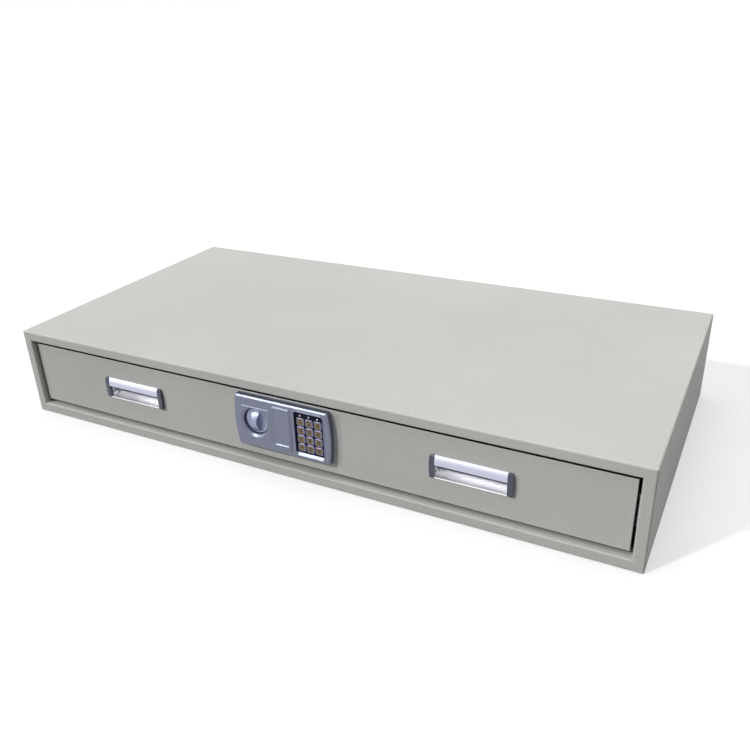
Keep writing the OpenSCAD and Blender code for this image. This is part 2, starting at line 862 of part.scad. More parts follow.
// End cap with a face that follows the pull's, and the boss that its screw pulls on
module handle_cap() {
    soft = 0.9;
    bow_z = handle_h / 2 - pull_bow_h;
    front = face_y - cap_lift;
    difference() {
        union() {
            intersection() {
                hull() {
                    along_y(front + soft, face_y) cap_outline(0, 2.4);
                    along_y(front, front + soft) cap_outline(soft, 1.6);
                }
                union() {
                    rod_x(front + pull_bow_r, bow_z, pull_bow_r, -cap_w, cap_w, $fn = 360);
                    block(-cap_w, cap_w, front - over, face_y + over, -handle_h, bow_z);
                }
            }
            rod_y(0, 0, cap_boss_r, face_y - fit_gap, inside_y - 0.1);
        }
        rod_y(0, 0, screw_r + fit_gap, face_y - 1, inside_y + over);
    }
}
module handle_caps() {
    color(dark_plastic) for (h = [-1, 1], s = [0, 1])
        translate([h * handle_x, 0, handle_z]) mirror([s, 0, 0]) translate([cap_screw_x, 0, 0]) handle_cap();
}

// Lock panel

// Outline of the lock panel: straight top and bottom, sides that bow out on an arc
module lock_shape(inset) {
    corner = 3;
    bow_r = (lock_h * lock_h / 4 + lock_bow * lock_bow) / (2 * lock_bow);
    half_a = asin(lock_h / 2 / bow_r);
    steps = 10;
    side = [for (i = [0 : steps]) let(a = half_a * (2 * i / steps - 1))
        [lock_w / 2 + lock_bow - bow_r + bow_r * cos(a), bow_r * sin(a)]];
    translate([0, lock_z]) offset(r = corner, $fn = 32) offset(delta = -corner - inset)
        polygon(concat(side, [for (i = [steps : -1 : 0]) [-side[i][0], side[i][1]]]));
}

// A raised pad with soft edges on the face of the lock panel
module soft_pad(x, z, w, h, r, y0, y1, soft) {
    translate([x, 0, z]) hull() {
        along_y(y0 + soft, y1) rounded(w, h, r, $fn = 32);
        along_y(y0, y1) rounded(w - 2 * soft, h - 2 * soft, r - soft, $fn = 32);
    }
}

// Moulded panel with the knob's well, the cover's seat, the barrel's pocket and the keypad's tub
module lock_housing() {
    edge_d = 2.6;
    edge_w = 2.9;
    edge_soft = 0.4;
    tub_bevel = [1.6, 4.4];
    well_bevel = 3.7;
    well_bevel_d = 3;
    well_r = knob_well_r - well_bevel;
    cup_r = well_r + 2.4;
    tub_wall = 1.5;
    prong_slot = [cover_w / 4, 2.3];
    color(silver) difference() {
        union() {
            difference() {
                hull() {
                    along_y(lock_y + edge_d, face_y) lock_shape(0);
                    along_y(lock_y + edge_d - edge_soft, face_y) lock_shape(edge_soft / 2);
                    along_y(lock_y + edge_soft / 2, face_y) lock_shape(edge_w - edge_soft);
                    along_y(lock_y, face_y) lock_shape(edge_w);
                }
                along_y(lock_in_y, face_y + over) lock_shape(lock_wall);
            }
            soft_pad(2 - knob_x, knob_z - 0.5, 64, 61, 6, plateau_y, lock_in_y, 1);
            soft_pad(window_x, window_z - 2, window_w + 4, window_h + 11.4, 6, lock_y - 0.8, lock_in_y, 0.6);
            rod_y(-knob_x, knob_z, cup_r, lock_in_y - fit_gap, face_y);
            rod_y(cover_x, knob_z, barrel_r + 4, lock_in_y - fit_gap, face_y - 4);
            along_y(lock_in_y - fit_gap, window_y + window_t + ledge_t) translate([window_x, window_z])
                rounded(window_w + 2 * tub_wall, window_h + 2 * tub_wall, 6);
            for (s = [-1, 1], c = [-1, 1]) {
                rod_y(s * boss_x, lock_z + c * boss_dz, lock_boss_r, lock_in_y - fit_gap, face_y);
                rod_y(window_x + s * board_boss_dx, window_z + c * board_boss_dz, board_boss_r,
                    window_y + window_t, board_y);
            }
        }
        rod_y(-knob_x, knob_z, well_r, plateau_y - over, face_y - cup_floor_t);
        translate([-knob_x, plateau_y + well_bevel_d, knob_z]) rotate([90, 0, 0])
            cylinder(h = well_bevel_d + over, r1 = well_r,
                r2 = knob_well_r + over * well_bevel / well_bevel_d);
        rod_y(-knob_x, knob_z, bush_flange_r + run_gap, face_y - cup_floor_t - over, face_y + over);
        along_y(lock_y - over, cover_seat_y) translate([cover_x, knob_z])
            rounded(cover_w + 2 * run_gap, cover_h + 2 * run_gap, 3);
        for (c = [-1, 1])
            along_y(cover_seat_y - over, lock_in_y + over) translate([cover_x, knob_z + c * prong_z])
                square(prong_slot, center = true);
        rod_y(cover_x, knob_z, barrel_flange_r + run_gap, lock_y - over, pocket_y);
        rod_y(cover_x, knob_z, barrel_r + 0.1, pocket_y - over, face_y);
        along_y(lock_y - 2 * over, window_y + window_t) translate([window_x, window_z])
            rounded(window_w + 0.4, window_h + 0.4, 4.4);
        hull() {
            along_y(lock_y - over, lock_y - 0.9)
                translate([window_x, window_z + (tub_bevel[0] - tub_bevel[1]) / 2])
                    rounded(window_w + 0.5, window_h + tub_bevel[0] + tub_bevel[1], 4.4, $fn = 32);
            along_y(lock_y - 0.8, window_y) translate([window_x, window_z])
                rounded(window_w + 0.4, window_h + 0.4, 4.4, $fn = 32);
        }
        along_y(window_y, window_y + window_t + ledge_t + over) translate([window_x, window_z])
            square([window_w - 3.4, window_h - 3], center = true);
        for (s = [-1, 1], c = [-1, 1])
            rod_y(s * boss_x, lock_z + c * boss_dz, screw_r + fit_gap, lock_in_y, face_y + over);
    }
}

// Clip-on cover over the override lock, with a shallow field and two prongs behind
module key_cover() {
    lift = 2.4;
    field = [cover_w - 10, cover_h - 15.5];
    field_d = 1.1;
    field_slope = 1.3;
    front = lock_y - lift;
    prong = [cover_w / 4 - 1, 1.5];
    prong_l = 6;
    back = cover_seat_y - 0.1;
    color(silver) {
        difference() {
            soft_pad(cover_x, knob_z, cover_w, cover_h, 2.8, front, back, 2);
            translate([cover_x - 0.8, 0, knob_z + 2.2]) hull() {
                along_y(front - 0.1, front)
                    rounded(field[0] + 2 * field_slope, field[1] + 2 * field_slope, 2.4, $fn = 32);
                along_y(front - 0.1, front + field_d) rounded(field[0], field[1], 1.2, $fn = 32);
            }
        }
        for (c = [-1, 1])
            along_y(back - fit_gap, back + prong_l) translate([cover_x, knob_z + c * prong_z])
                square(prong, center = true);
    }
}

// Barrel of the override lock, with its face in the panel's pocket
module key_barrel() {
    tail_t = 1.2;
    color(brass_colour) difference() {
        union() {
            rod_y(cover_x, knob_z, barrel_flange_r, pocket_y - 1.5, pocket_y);
            rod_y(cover_x, knob_z, barrel_r, pocket_y - fit_gap, barrel_back_y);
        }
        rod_y(cover_x, knob_z, plug_r + fit_gap, pocket_y - 2, barrel_back_y - tail_t);
        rod_y(cover_x, knob_z, cam_r - fit_gap, pocket_y, barrel_back_y + over);
    }
}

// Nut that clamps the barrel against the tray's front wall
module barrel_nut() {
    color(zinc) difference() {
        translate([cover_x, inside_y + nut_t, knob_z]) rotate([90, 0, 0])
            cylinder(h = nut_t, r = nut_af / 2 / cos(30), $fn = 6);
        rod_y(cover_x, knob_z, barrel_r + fit_gap, inside_y - over, inside_y + nut_t + over);
    }
}

// Plug that the key turns, with its keyway and its tail
module key_plug() {
    keyway = [1.6, 8];
    color(brass_colour) difference() {
        union() {
            rod_y(cover_x, knob_z, plug_r, pocket_y - 1.4, barrel_back_y - 1.5);
            rod_y(cover_x, knob_z, cam_r - 2 * fit_gap, barrel_back_y - 2, cam_y + cam_t + 1);
        }
        along_y(pocket_y - 3, barrel_back_y - 6) translate([cover_x, knob_z])
            square(keyway, center = true);
    }
}

// Lever on the plug's tail, which draws the plunger back
module key_cam() {
    hub = 6.5;
    color(zinc) difference() {
        union() {
            rod_y(cover_x, knob_z, hub, cam_y, cam_y + cam_t);
            rod_y(cover_x, knob_z - cam_l, cam_r, cam_y, cam_y + cam_t);
            block(cover_x - cam_r, cover_x + cam_r, cam_y, cam_y + cam_t, knob_z - cam_l, knob_z);
        }
        rod_y(cover_x, knob_z, cam_r - fit_gap, cam_y - over, cam_y + cam_t + over);
    }
}

// Turn knob: a flat disc with a round rim, and an arched ridge with hollow flanks across it
module knob() {
    soft = 1;
    crest = 1.2;
    crest_y = knob_rim_y - ridge_h;
    arch_r = (knob_r * knob_r + ridge_h * ridge_h) / (2 * ridge_h);
    flank_r = 40;
    flank_a = 45;
    color(silver) translate([-knob_x, 0, knob_z]) difference() {
        union() {
            rod_y(0, 0, knob_r - soft, knob_rim_y, knob_back_y);
            rod_y(0, 0, knob_r, knob_rim_y + soft, knob_back_y);
            translate([0, knob_rim_y + soft, 0]) rotate([90, 0, 0])
                rotate_extrude() translate([knob_r - soft, 0]) circle(soft);
            intersection() {
                along_z(-knob_r, knob_r) difference() {
                    translate([-knob_r, crest_y]) square([2 * knob_r, ridge_h + soft]);
                    for (s = [-1, 1])
                        translate([s * (crest + flank_r * sin(flank_a)), crest_y - flank_r * cos(flank_a)])
                            circle(flank_r, $fn = 180);
                }
                rod_y(0, 0, knob_r - 1.6, crest_y - over, knob_back_y);
                rod_x(crest_y + arch_r, 0, arch_r, -knob_r, knob_r, $fn = 96);
            }
            rod_y(0, 0, hub_r, knob_back_y - fit_gap, inside_y + 0.2);
        }
        rod_y(0, 0, spindle_r + fit_gap, knob_back_y - 1, inside_y + over);
    }
}

// Steel spindle with a crank disc and its pin; the pin starts an eighth of a turn below level
module knob_spindle() {
    color(bright_steel) translate([-knob_x, 0, knob_z]) {
        rod_y(0, 0, spindle_r, knob_back_y - 0.8, crank_y + fit_gap);
        rod_y(0, 0, crank_r + 5, crank_y, crank_y + crank_t);
        rod_y(crank_r * sin(45), -crank_r * sin(45), pin_r, crank_y, carrier_back_y + 1.5);
    }
}

// Flanged bush that the knob's hub turns in
module knob_bush() {
    color(nylon) difference() {
        union() {
            rod_y(-knob_x, knob_z, bush_r, face_y - fit_gap, inside_y);
            rod_y(-knob_x, knob_z, bush_flange_r, face_y - bush_flange_t, face_y);
        }
        rod_y(-knob_x, knob_z, hub_r + fit_gap, face_y - 2 * over, inside_y + over);
    }
}

// Keypad

// Place of key number n, counted from the top left
function key_place(n) = [
    window_x + (n % 3 - 1) * key_pitch_x,
    key_z0 + (3 - floor(n / 3)) * key_pitch_z
];

module keypad_window() {
    hole = [key_w + 0.6, key_h + 0.6];
    color(black_plastic) difference() {
        along_y(window_y, window_y + window_t) translate([window_x, window_z])
            rounded(window_w, window_h, 4.2);
        for (n = [0 : 11])
            along_y(window_y - over, window_y + window_t + over) translate(key_place(n))
                rounded(hole[0], hole[1], 3.2);
        for (n = [0 : 2]) rod_y(key_place(n)[0] + light_dx, light_z, light_r + 0.2,
            window_y - over, window_y + window_t + over);
    }
}

module key_cap(n) {
    soft = 0.8;
    corner = 3;
    face = [11, 11.6];
    flange = [key_w + 1.2, key_h + 1.2];
    flange_y = window_y + window_t + 0.2;
    color(key_gold) translate([key_place(n)[0], 0, key_place(n)[1]]) {
        difference() {
            hull() {
                along_y(window_y - key_proud + soft, flange_y) rounded(key_w, key_h, corner, $fn = 24);
                along_y(window_y - key_proud, flange_y)
                    rounded(key_w - 2 * soft, key_h - 2 * soft, corner - soft, $fn = 24);
            }
            along_y(window_y - key_proud - over, window_y - key_proud + 0.3)
                rounded(face[0], face[1], 1.6, $fn = 24);
        }
        along_y(flange_y - fit_gap, flange_y + key_flange_t) square(flange, center = true);
        rod_y(0, 0, 2.2, flange_y, board_y - dome_h - key_travel - 0.2);
    }
}
module key_1() { key_cap(0); }
module key_2() { key_cap(1); }
module key_3() { key_cap(2); }
module key_4() { key_cap(3); }
module key_5() { key_cap(4); }
module key_6() { key_cap(5); }
module key_7() { key_cap(6); }
module key_8() { key_cap(7); }
module key_9() { key_cap(8); }
module key_star() { key_cap(9); }
module key_0() { key_cap(10); }
module key_hash() { key_cap(11); }

// Three indicator lamps above the keys
module status_lights() {
    color("white") for (n = [0 : 2]) translate([key_place(n)[0] + light_dx, 0, light_z]) {
        rod_y(0, 0, light_r, window_y + 0.2, board_y);
        translate([0, window_y + 0.2, 0]) intersection() {
            sphere(light_r, $fn = 24);
            block(-2, 2, -2, fit_gap, -2, 2);
        }
    }
}

// Circuit board with its dome switches, a chip and the cable's socket
module keypad_board() {
    w = window_w + 2;
    h = window_h - 6;
    color(board_green) {
        along_y(board_y, board_y + board_t) translate([window_x, window_z])
            square([w, h], center = true);
        for (n = [0 : 11]) rod_y(key_place(n)[0], key_place(n)[1], 3, board_y - dome_h, board_y);
        block(window_x - 14, window_x - 2, board_y + board_t, board_y + board_t + 1.4,
            window_z - 8, window_z + 4);
        block(wire_x - 5, wire_x + 5, board_y + board_t, board_y + board_t + 1.8,
            wire_z - 4, wire_z + 4);
    }
}

// Wires from the board through the drawer front to the battery case and the coil
module cable() {
    start_y = board_y + board_t + 1.8;
    branch_y = inside_y + 12;
    color("black") {
        rod_y(wire_x, wire_z, wire_r, start_y, case_front_y);
        difference() {
            rod_z(wire_x, branch_y, wire_r, plunger_z, wire_z);
            rod_x(plunger_y, plunger_z, coil_r, coil_x0, coil_x1);
        }
    }
}

// Bolt work

// Shouldered studs that guide the bolt carrier
module guide_studs() {
    color(bright_steel) for (p = stud_places) translate([-knob_x + p[0], 0, knob_z + p[1]]) {
        rod_y(0, 0, stud_r - 1, wall_y, inside_y + fit_gap);
        rod_y(0, 0, stud_r, inside_y, carrier_back_y + run_gap);
        rod_y(0, 0, stud_head_r, carrier_back_y + run_gap, carrier_back_y + run_gap + stud_head_t);
    }
}

// Sliding plate with the crank's slot, two guide slots, a tooth for the plunger and a shelf
module bolt_carrier() {
    shelf_back_y = bolt_y + bolt_r + shelf_over_y;
    slack = pin_r + pin_slack;
    pin_z = -crank_r * sin(45);
    slot_half = stud_r + run_gap;
    color(zinc) difference() {
        union() {
            along_y(carrier_y, carrier_back_y) difference() {
                polygon([
                    [carrier_x0 + carrier_cut[0], carrier_z0], [carrier_x1, carrier_z0],
                    [carrier_x1, shelf_z + shelf_t], [carrier_x0, shelf_z + shelf_t],
                    [carrier_x0, carrier_z0 + carrier_cut[1]]]);
                translate([-knob_x, knob_z + pin_z]) rotate(-90)
                    slot(crank_r * sin(45) - pin_slack, crank_r + pin_slack, slack);
                for (p = stud_places) translate([-knob_x + p[0], knob_z + p[1]])
                    slot(-throw_z - run_gap, run_gap, slot_half);
                translate([-knob_x, knob_z] + carrier_relief_at)
                    rounded(carrier_relief[0], carrier_relief[1], carrier_relief_r);
            }
            block(carrier_x0, carrier_x1 + shelf_over_x, carrier_y, shelf_back_y,
                shelf_z, shelf_z + shelf_t);
            block(carrier_x1 - tooth_t, carrier_x1, carrier_y, plunger_y + plunger_r + 5,
                tooth_z, tooth_z + tooth_h);
            along_x(carrier_x0, carrier_x0 + gusset_t) polygon([
                [carrier_y, shelf_z + shelf_t], [carrier_y, shelf_z - gusset_h],
                [carrier_back_y, shelf_z - gusset_h],
                [shelf_back_y, shelf_z], [shelf_back_y, shelf_z + shelf_t]]);
        }
        for (s = [-1, 1])
            rod_z(-knob_x + s * bolt_x, bolt_y, bolt_shank_r + fit_gap,
                shelf_z - over, shelf_z + shelf_t + over);
    }
}

// Two round bolts riveted to the carrier's shelf
module locking_bolts() {
    color(bright_steel) for (s = [-1, 1]) translate([-knob_x + s * bolt_x, bolt_y, 0]) {
        rod_z(0, 0, bolt_r, shelf_z + shelf_t, bolt_top - bolt_chamfer);
        translate([0, 0, bolt_top - bolt_chamfer])
            cylinder(h = bolt_chamfer, r1 = bolt_r, r2 = bolt_r - bolt_chamfer);
        rod_z(0, 0, bolt_shank_r, shelf_z, shelf_z + shelf_t + fit_gap);
        rod_z(0, 0, bolt_rivet_r, shelf_z - bolt_rivet_t, shelf_z);
    }
}

// Coil in its steel frame, with an ear that steadies the plunger's tip
module solenoid_body() {
    frame_t = 2;
    bore = plunger_r + 0.1;
    base_y = inside_y + 1.5;
    frame_back = plunger_y + coil_r + 1;
    ear_x = -10;
    color(zinc) difference() {
        union() {
            block(ear_x, coil_x1 + frame_t, inside_y, base_y, plunger_z - 10, plunger_z + 10);
            block(ear_x, ear_x + frame_t, inside_y, plunger_y + 6, plunger_z - 6, plunger_z + 6);
            for (x = [coil_x0 - frame_t, coil_x1])
                block(x, x + frame_t, inside_y, frame_back, plunger_z - 10, plunger_z + 10);
            rod_x(plunger_y, plunger_z, coil_r, coil_x0 - fit_gap, coil_x1 + fit_gap);
        }
        rod_x(plunger_y, plunger_z, bore, ear_x - over, coil_x1 - 6);
    }
}

// Plunger with the tab that the key's lever pushes
module solenoid_plunger() {
    tip_x = carrier_x1 + loose_gap;
    chamfer = 0.5;
    tab_t = 3;
    color(bright_steel) {
        rod_x(plunger_y, plunger_z, plunger_r, tip_x + chamfer, coil_x1 - 14);
        translate([tip_x, plunger_y, plunger_z]) rotate([0, 90, 0])
            cylinder(h = chamfer, r1 = plunger_r - chamfer, r2 = plunger_r);
        block(tab_x, tab_x + tab_t, plunger_y - 4, cam_y + cam_t + 2.5, plunger_z - 5.5, plunger_z + 8.5);
    }
}

// Steel box over the bolt work, open towards the drawer front
module lock_cover() {
    w = lock_box_w;
    t = lock_box_t;
    flange_w = 10;
    flange_in = 6;
    case_w_out = case_in_w + 2 * case_wall + 0.8;
    case_h_out = cells_h + 2 * case_wall + 2;
    color(zinc) difference() {
        union() {
            block(-w / 2, w / 2, inside_y, lock_box_y, lock_box_z0, lock_box_top);
            block(-w / 2 - flange_w, w / 2 + flange_w, inside_y, inside_y + t,
                lock_box_z0 + flange_in, lock_box_top - flange_in);
        }
        block(-w / 2 + t, w / 2 - t, inside_y - over, lock_box_y - t, lock_box_z0 + t, lock_box_top - t);
        for (s = [-1, 1]) {
            rod_z(-knob_x + s * bolt_x, bolt_y, bolt_r + loose_gap,
                lock_box_top - t - over, lock_box_top + over);
            for (c = [-1, 1]) rod_y(s * cover_screw_x, cover_mid_z + c * cover_screw_dz,
                screw_r + fit_gap, inside_y - over, inside_y + t + over);
        }
        along_y(lock_box_y - t - over, lock_box_y + over) translate([case_x, case_z])
            square([case_w_out, case_h_out], center = true);
        rod_y(reset_x, reset_z, reset_r + 0.6, lock_box_y - t - over, lock_box_y + over);
    }
}

// Battery case set in the cover's window, with grooves for its sliding door
module battery_case() {
    w = case_in_w + 2 * case_wall;
    h = cells_h + 2 * case_wall + 1.2;
    flange = 3;
    flange_y = lock_box_y - lock_box_t;
    color(black_plastic) difference() {
        union() {
            along_y(case_front_y, case_rim_y) translate([case_x, case_z]) square([w, h], center = true);
            along_y(flange_y - 1.5, flange_y) translate([case_x, case_z])
                square([w + 2 * flange, h + 2 * flange], center = true);
        }
        along_y(case_front_y + case_wall, case_rim_y + over) translate([case_x, case_z])
            square([case_in_w, cells_h + 1.2], center = true);
        along_y(door_y - 0.2, door_y + door_t + 0.2) translate([case_x, case_z + h / 2])
            square([case_in_w + 2 * groove, 2 * h - 2 * case_wall], center = true);
        along_y(door_y - 0.2, case_rim_y + over) translate([case_x, case_z + h / 2])
            square([case_in_w, h], center = true);
    }
}

// Lid that slides up out of its grooves, with a finger dimple
module battery_door() {
    h = cells_h + 2 * case_wall + 0.8;
    color(black_plastic) difference() {
        along_y(door_y, door_y + door_t) translate([case_x, case_z + case_wall / 2])
            square([case_in_w + 2 * groove - 0.6, h - case_wall], center = true);
        translate([case_x, door_y + door_t + 11, case_z + h / 2 - 14]) sphere(12, $fn = 48);
    }
}

// Place of cell number n, counted from the bottom
function cell_z(n) = case_z + (n - (cell_count - 1) / 2) * cell_pitch;

module batteries() {
    nub = 1.3;
    color([0.2, 0.2, 0.22]) for (n = [0 : cell_count - 1])
        translate([case_x, cell_y, cell_z(n)]) mirror([n % 2, 0, 0]) {
            rod_x(0, 0, cell_r, -cell_l / 2, cell_l / 2);
            rod_x(0, 0, 2.7, cell_l / 2, cell_l / 2 + nub);
        }
}

// Contacts at both ends of every cell: a coned spring and a plain stud
module battery_contacts() {
    plate_t = 0.5;
    plate = 5;
    half = case_in_w / 2;
    color(bright_steel) for (n = [0 : cell_count - 1])
        translate([case_x, cell_y, cell_z(n)]) mirror([n % 2, 0, 0]) {
            block(-half, -half + plate_t, -plate, plate, -plate, plate);
            translate([-half + plate_t, 0, 0]) rotate([0, 90, 0])
                cylinder(h = half - plate_t - cell_l / 2, r1 = 4, r2 = 2.5);
            block(half - plate_t, half, -plate, plate, -plate, plate);
            rod_x(0, 0, 2.2, cell_l / 2 + 1.3, half - plate_t);
        }
}

// Switch behind the cover's rear wall, and its button, which sets a new code
module reset_switch() {
    y1 = lock_box_y - lock_box_t;
    color(black_plastic) difference() {
        block(reset_x - 6, reset_x + 6, y1 - 9, y1, reset_z - 6, reset_z + 6);
        rod_y(reset_x, reset_z, reset_r + 0.1, y1 - 6, y1 + over);
    }
}
module reset_button() {
    y1 = lock_box_y - lock_box_t;
    color("firebrick") rod_y(reset_x, reset_z, reset_r, y1 - 4, lock_box_y + 2.5);
}

casing_shell();
back_panel();
strike_bar();
slide_bracket_left();
slide_bracket_right();
outer_rail_left();
outer_rail_right();
rail_rivets();
drawer_tray();
tray_front();
drawer_front();
inner_rail_left();
inner_rail_right();
drawer_screws();
handle_left();
handle_right();
handle_caps();
lock_housing();
keypad_window();
status_lights();
keypad_board();
key_barrel();
barrel_nut();
knob_bush();
guide_studs();
solenoid_body();
lock_cover();
battery_case();
battery_contacts();
batteries();
reset_switch();
cable();
middle_rail_left();
middle_rail_right();
ball_cage_outer_left();
ball_cage_outer_right();
ball_cage_inner_left();
ball_cage_inner_right();
knob();
knob_spindle();
bolt_carrier();
locking_bolts();
solenoid_plunger();
key_plug();
key_cam();
key_cover();
battery_door();
reset_button();
key_1();
key_2();
key_3();
key_4();
key_5();
key_6();
key_7();
key_8();
key_9();
key_star();
key_0();
key_hash();
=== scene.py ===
"""Looks of the under-bed safe: powder-coated steel, satin lock panel, aluminium pulls, keypad."""
import math

import bpy
import numpy as np
from mathutils import Matrix, Vector


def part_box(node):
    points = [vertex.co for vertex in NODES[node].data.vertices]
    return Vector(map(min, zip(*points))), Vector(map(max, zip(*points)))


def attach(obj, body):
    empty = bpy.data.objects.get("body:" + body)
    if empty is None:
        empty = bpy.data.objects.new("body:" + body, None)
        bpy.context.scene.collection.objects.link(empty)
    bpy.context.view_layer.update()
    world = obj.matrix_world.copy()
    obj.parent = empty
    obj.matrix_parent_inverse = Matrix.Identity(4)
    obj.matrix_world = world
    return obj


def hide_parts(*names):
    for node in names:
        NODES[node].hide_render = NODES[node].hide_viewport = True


bl_info = {
    "name": "Under-bed safe",
    "version": (1, 0, 0),
    "blender": (4, 5, 0),
    "location": "View3D > Sidebar > Safe",
    "description": "Dresses the steel under-bed safe and sets its stage",
    "category": "Object",
}

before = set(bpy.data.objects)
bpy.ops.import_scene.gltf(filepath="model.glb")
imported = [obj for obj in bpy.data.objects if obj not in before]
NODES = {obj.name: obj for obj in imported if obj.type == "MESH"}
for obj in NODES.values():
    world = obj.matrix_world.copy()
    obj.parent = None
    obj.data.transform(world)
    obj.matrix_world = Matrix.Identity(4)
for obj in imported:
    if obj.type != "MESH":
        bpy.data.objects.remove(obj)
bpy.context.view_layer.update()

KEYS = {"key_1": "1", "key_2": "2", "key_3": "3", "key_4": "4", "key_5": "5", "key_6": "6",
        "key_7": "7", "key_8": "8", "key_9": "9", "key_star": "*", "key_0": "0", "key_hash": "#"}
MM = 0.001


# Sizes and colours that a user would change

def colour(name, text, rgb):
    """A colour property, in the linear values that the shader takes."""
    return bpy.props.FloatVectorProperty(name=name, description=text, subtype="COLOR", size=3,
                                         min=0.0, max=1.0, default=rgb)


def share(name, text, value):
    """A property from 0 to 1."""
    return bpy.props.FloatProperty(name=name, description=text, subtype="FACTOR", min=0.0, max=1.0,
                                   default=value)


def length(name, text, least, most, value):
    """A length property, in metres."""
    return bpy.props.FloatProperty(name=name, description=text, unit="LENGTH", min=least, max=most,
                                   default=value)


def point(name, text, value):
    """A place in space, in metres."""
    return bpy.props.FloatVectorProperty(name=name, description=text, size=3, unit="LENGTH",
                                         default=value)


class SafeSteel(bpy.types.PropertyGroup):
    paint: colour("Paint", "Colour of the powder coat", (0.60, 0.605, 0.575))
    paint_roughness: share("Paint roughness", "How matt the powder coat is", 0.52)
    peel: share("Orange peel", "Strength of the coat's fine texture", 0.30)
    # Painted shade: the drawer front's near-black edge and folds stand for the shade in the gap
    # round the drawer.
    edge: colour("Dark edge", "Colour of the drawer front's edge and folds", (0.012, 0.012, 0.012))
    zinc: colour("Zinc", "Colour of the plated steel inside", (0.56, 0.58, 0.60))
    steel: colour("Bare steel", "Colour of the balls, bolts and screws", (0.70, 0.71, 0.72))


class SafeLock(bpy.types.PropertyGroup):
    silver: colour("Silver", "Colour of the lock panel's paint", (0.205, 0.222, 0.300))
    silver_roughness: share("Silver roughness", "How satin the lock panel is", 0.36)
    window: colour("Window", "Colour of the keypad's window", (0.004, 0.004, 0.020))
    key_face: colour("Key face", "Colour of a key's middle", (0.19, 0.14, 0.065))
    key_rim: colour("Key rim", "Colour of a key's border", (0.23, 0.235, 0.38))
    digit: colour("Digit", "Colour of the figures on the keys", (0.015, 0.012, 0.010))
    digit_size: length("Digit size", "Height of the figures' line", 0.004, 0.012, 0.0095)
    digit_rise: length("Digit thickness", "Half the thickness of the figures", 0.00005, 0.0003,
                       0.00015)
    ridge: length("Knob bar", "How far the knob's bar stands over its rim", 0.006, 0.0095, 0.0095)
    dish: length("Knob dish", "Depth of the hollow inside the knob's rim", 0.0, 0.002, 0.0014)


class SafePulls(bpy.types.PropertyGroup):
    metal: colour("Aluminium", "Colour of the pulls' hoods", (0.52, 0.525, 0.635))
    # The inside's lighter colour is partly its polish and partly a painted reflection of bright
    # light in the trough.
    trough: colour("Trough", "Colour of the pulls' polished inside", (0.965, 0.965, 0.99))
    cap: colour("End caps", "Colour of the pulls' end caps", (0.038, 0.048, 0.095))
    brush: share("Brushing", "Strength of the streaks along the trough", 0.10)


class SafeStage(bpy.types.PropertyGroup):
    eye: point("Camera", "Where the camera stands", (0.6970, -1.2632, 0.7679))
    aim: point("Target", "What the camera looks at", (-0.0442, 0.1202, 0.0))
    roll: bpy.props.FloatProperty(name="Roll", description="Turn of the camera about its view",
                                  subtype="ANGLE", default=-0.0349)
    lens: bpy.props.FloatProperty(name="Lens", description="Focal length in millimetres",
                                  min=20, max=90, default=37.91)
    floor_white: share("Floor", "Brightness of the floor's own colour", 0.72)
    floor_lift: share("Floor lift", "Added to the floor where it is seen, to make it white", 0.38)
    floor_bounce: share("Bounce", "Light that the floor throws back on the object", 0.20)
    sky: share("Sky", "Strength of the light from all round", 0.12)


# Node helpers

class Tree:
    """Adds nodes to a material or a group and links them by name."""

    def __init__(self, tree):
        self.tree = tree

    def node(self, kind, label="", inputs=None, **facts):
        made = self.tree.nodes.new(kind)
        made.label = label
        for key, value in facts.items():
            setattr(made, key, value)
        for key, value in (inputs or {}).items():
            if isinstance(value, bpy.types.NodeSocket):
                self.link(value, made.inputs[key])
            else:
                made.inputs[key].default_value = value
        return made

    def math(self, operation, a, b=0.0, clamp=False):
        return self.node("ShaderNodeMath", inputs={0: a, 1: b}, operation=operation,
                         use_clamp=clamp).outputs[0]

    def vector(self, operation, a, b=(0.0, 0.0, 0.0)):
        made = self.node("ShaderNodeVectorMath", inputs={0: a, 1: b}, operation=operation)
        return made.outputs["Value"] if operation == "LENGTH" else made.outputs["Vector"]

    def mix(self, factor, a, b):
        """Two colours mixed by a factor. A plain colour has no alpha of its own, so it gets one."""
        a, b = (tint if isinstance(tint, bpy.types.NodeSocket) else (*tint, 1.0)
                for tint in (a, b))
        made = self.node("ShaderNodeMix", inputs={0: factor, 6: a, 7: b}, data_type="RGBA")
        return made.outputs[2]

    def scale(self, tint, tone):
        """A colour times a tone."""
        made = self.node("ShaderNodeVectorMath", inputs={0: tint, "Scale": tone},
                         operation="SCALE")
        return made.outputs[0]

    def noise(self, label, place, scale, detail):
        """The value of a noise texture."""
        return self.node("ShaderNodeTexNoise", label,
                         {"Vector": place, "Scale": scale, "Detail": detail}).outputs[0]

    def place(self):
        """The point in the object's own coordinates."""
        return self.node("ShaderNodeTexCoord").outputs["Object"]

    def link(self, value, socket):
        self.tree.links.new(value, socket)


def group(name, inputs, outputs):
    """An empty shader node group with its sockets. Returns its node maker, its input node and its
    output node."""
    tree = bpy.data.node_groups.new(name, "ShaderNodeTree")
    for socket, value in inputs:
        made = tree.interface.new_socket(socket, in_out="INPUT", socket_type="NodeSocketFloat")
        made.default_value = value
    for socket, kind in outputs:
        tree.interface.new_socket(socket, in_out="OUTPUT", socket_type=kind)
    t = Tree(tree)
    return t, t.node("NodeGroupInput"), t.node("NodeGroupOutput")


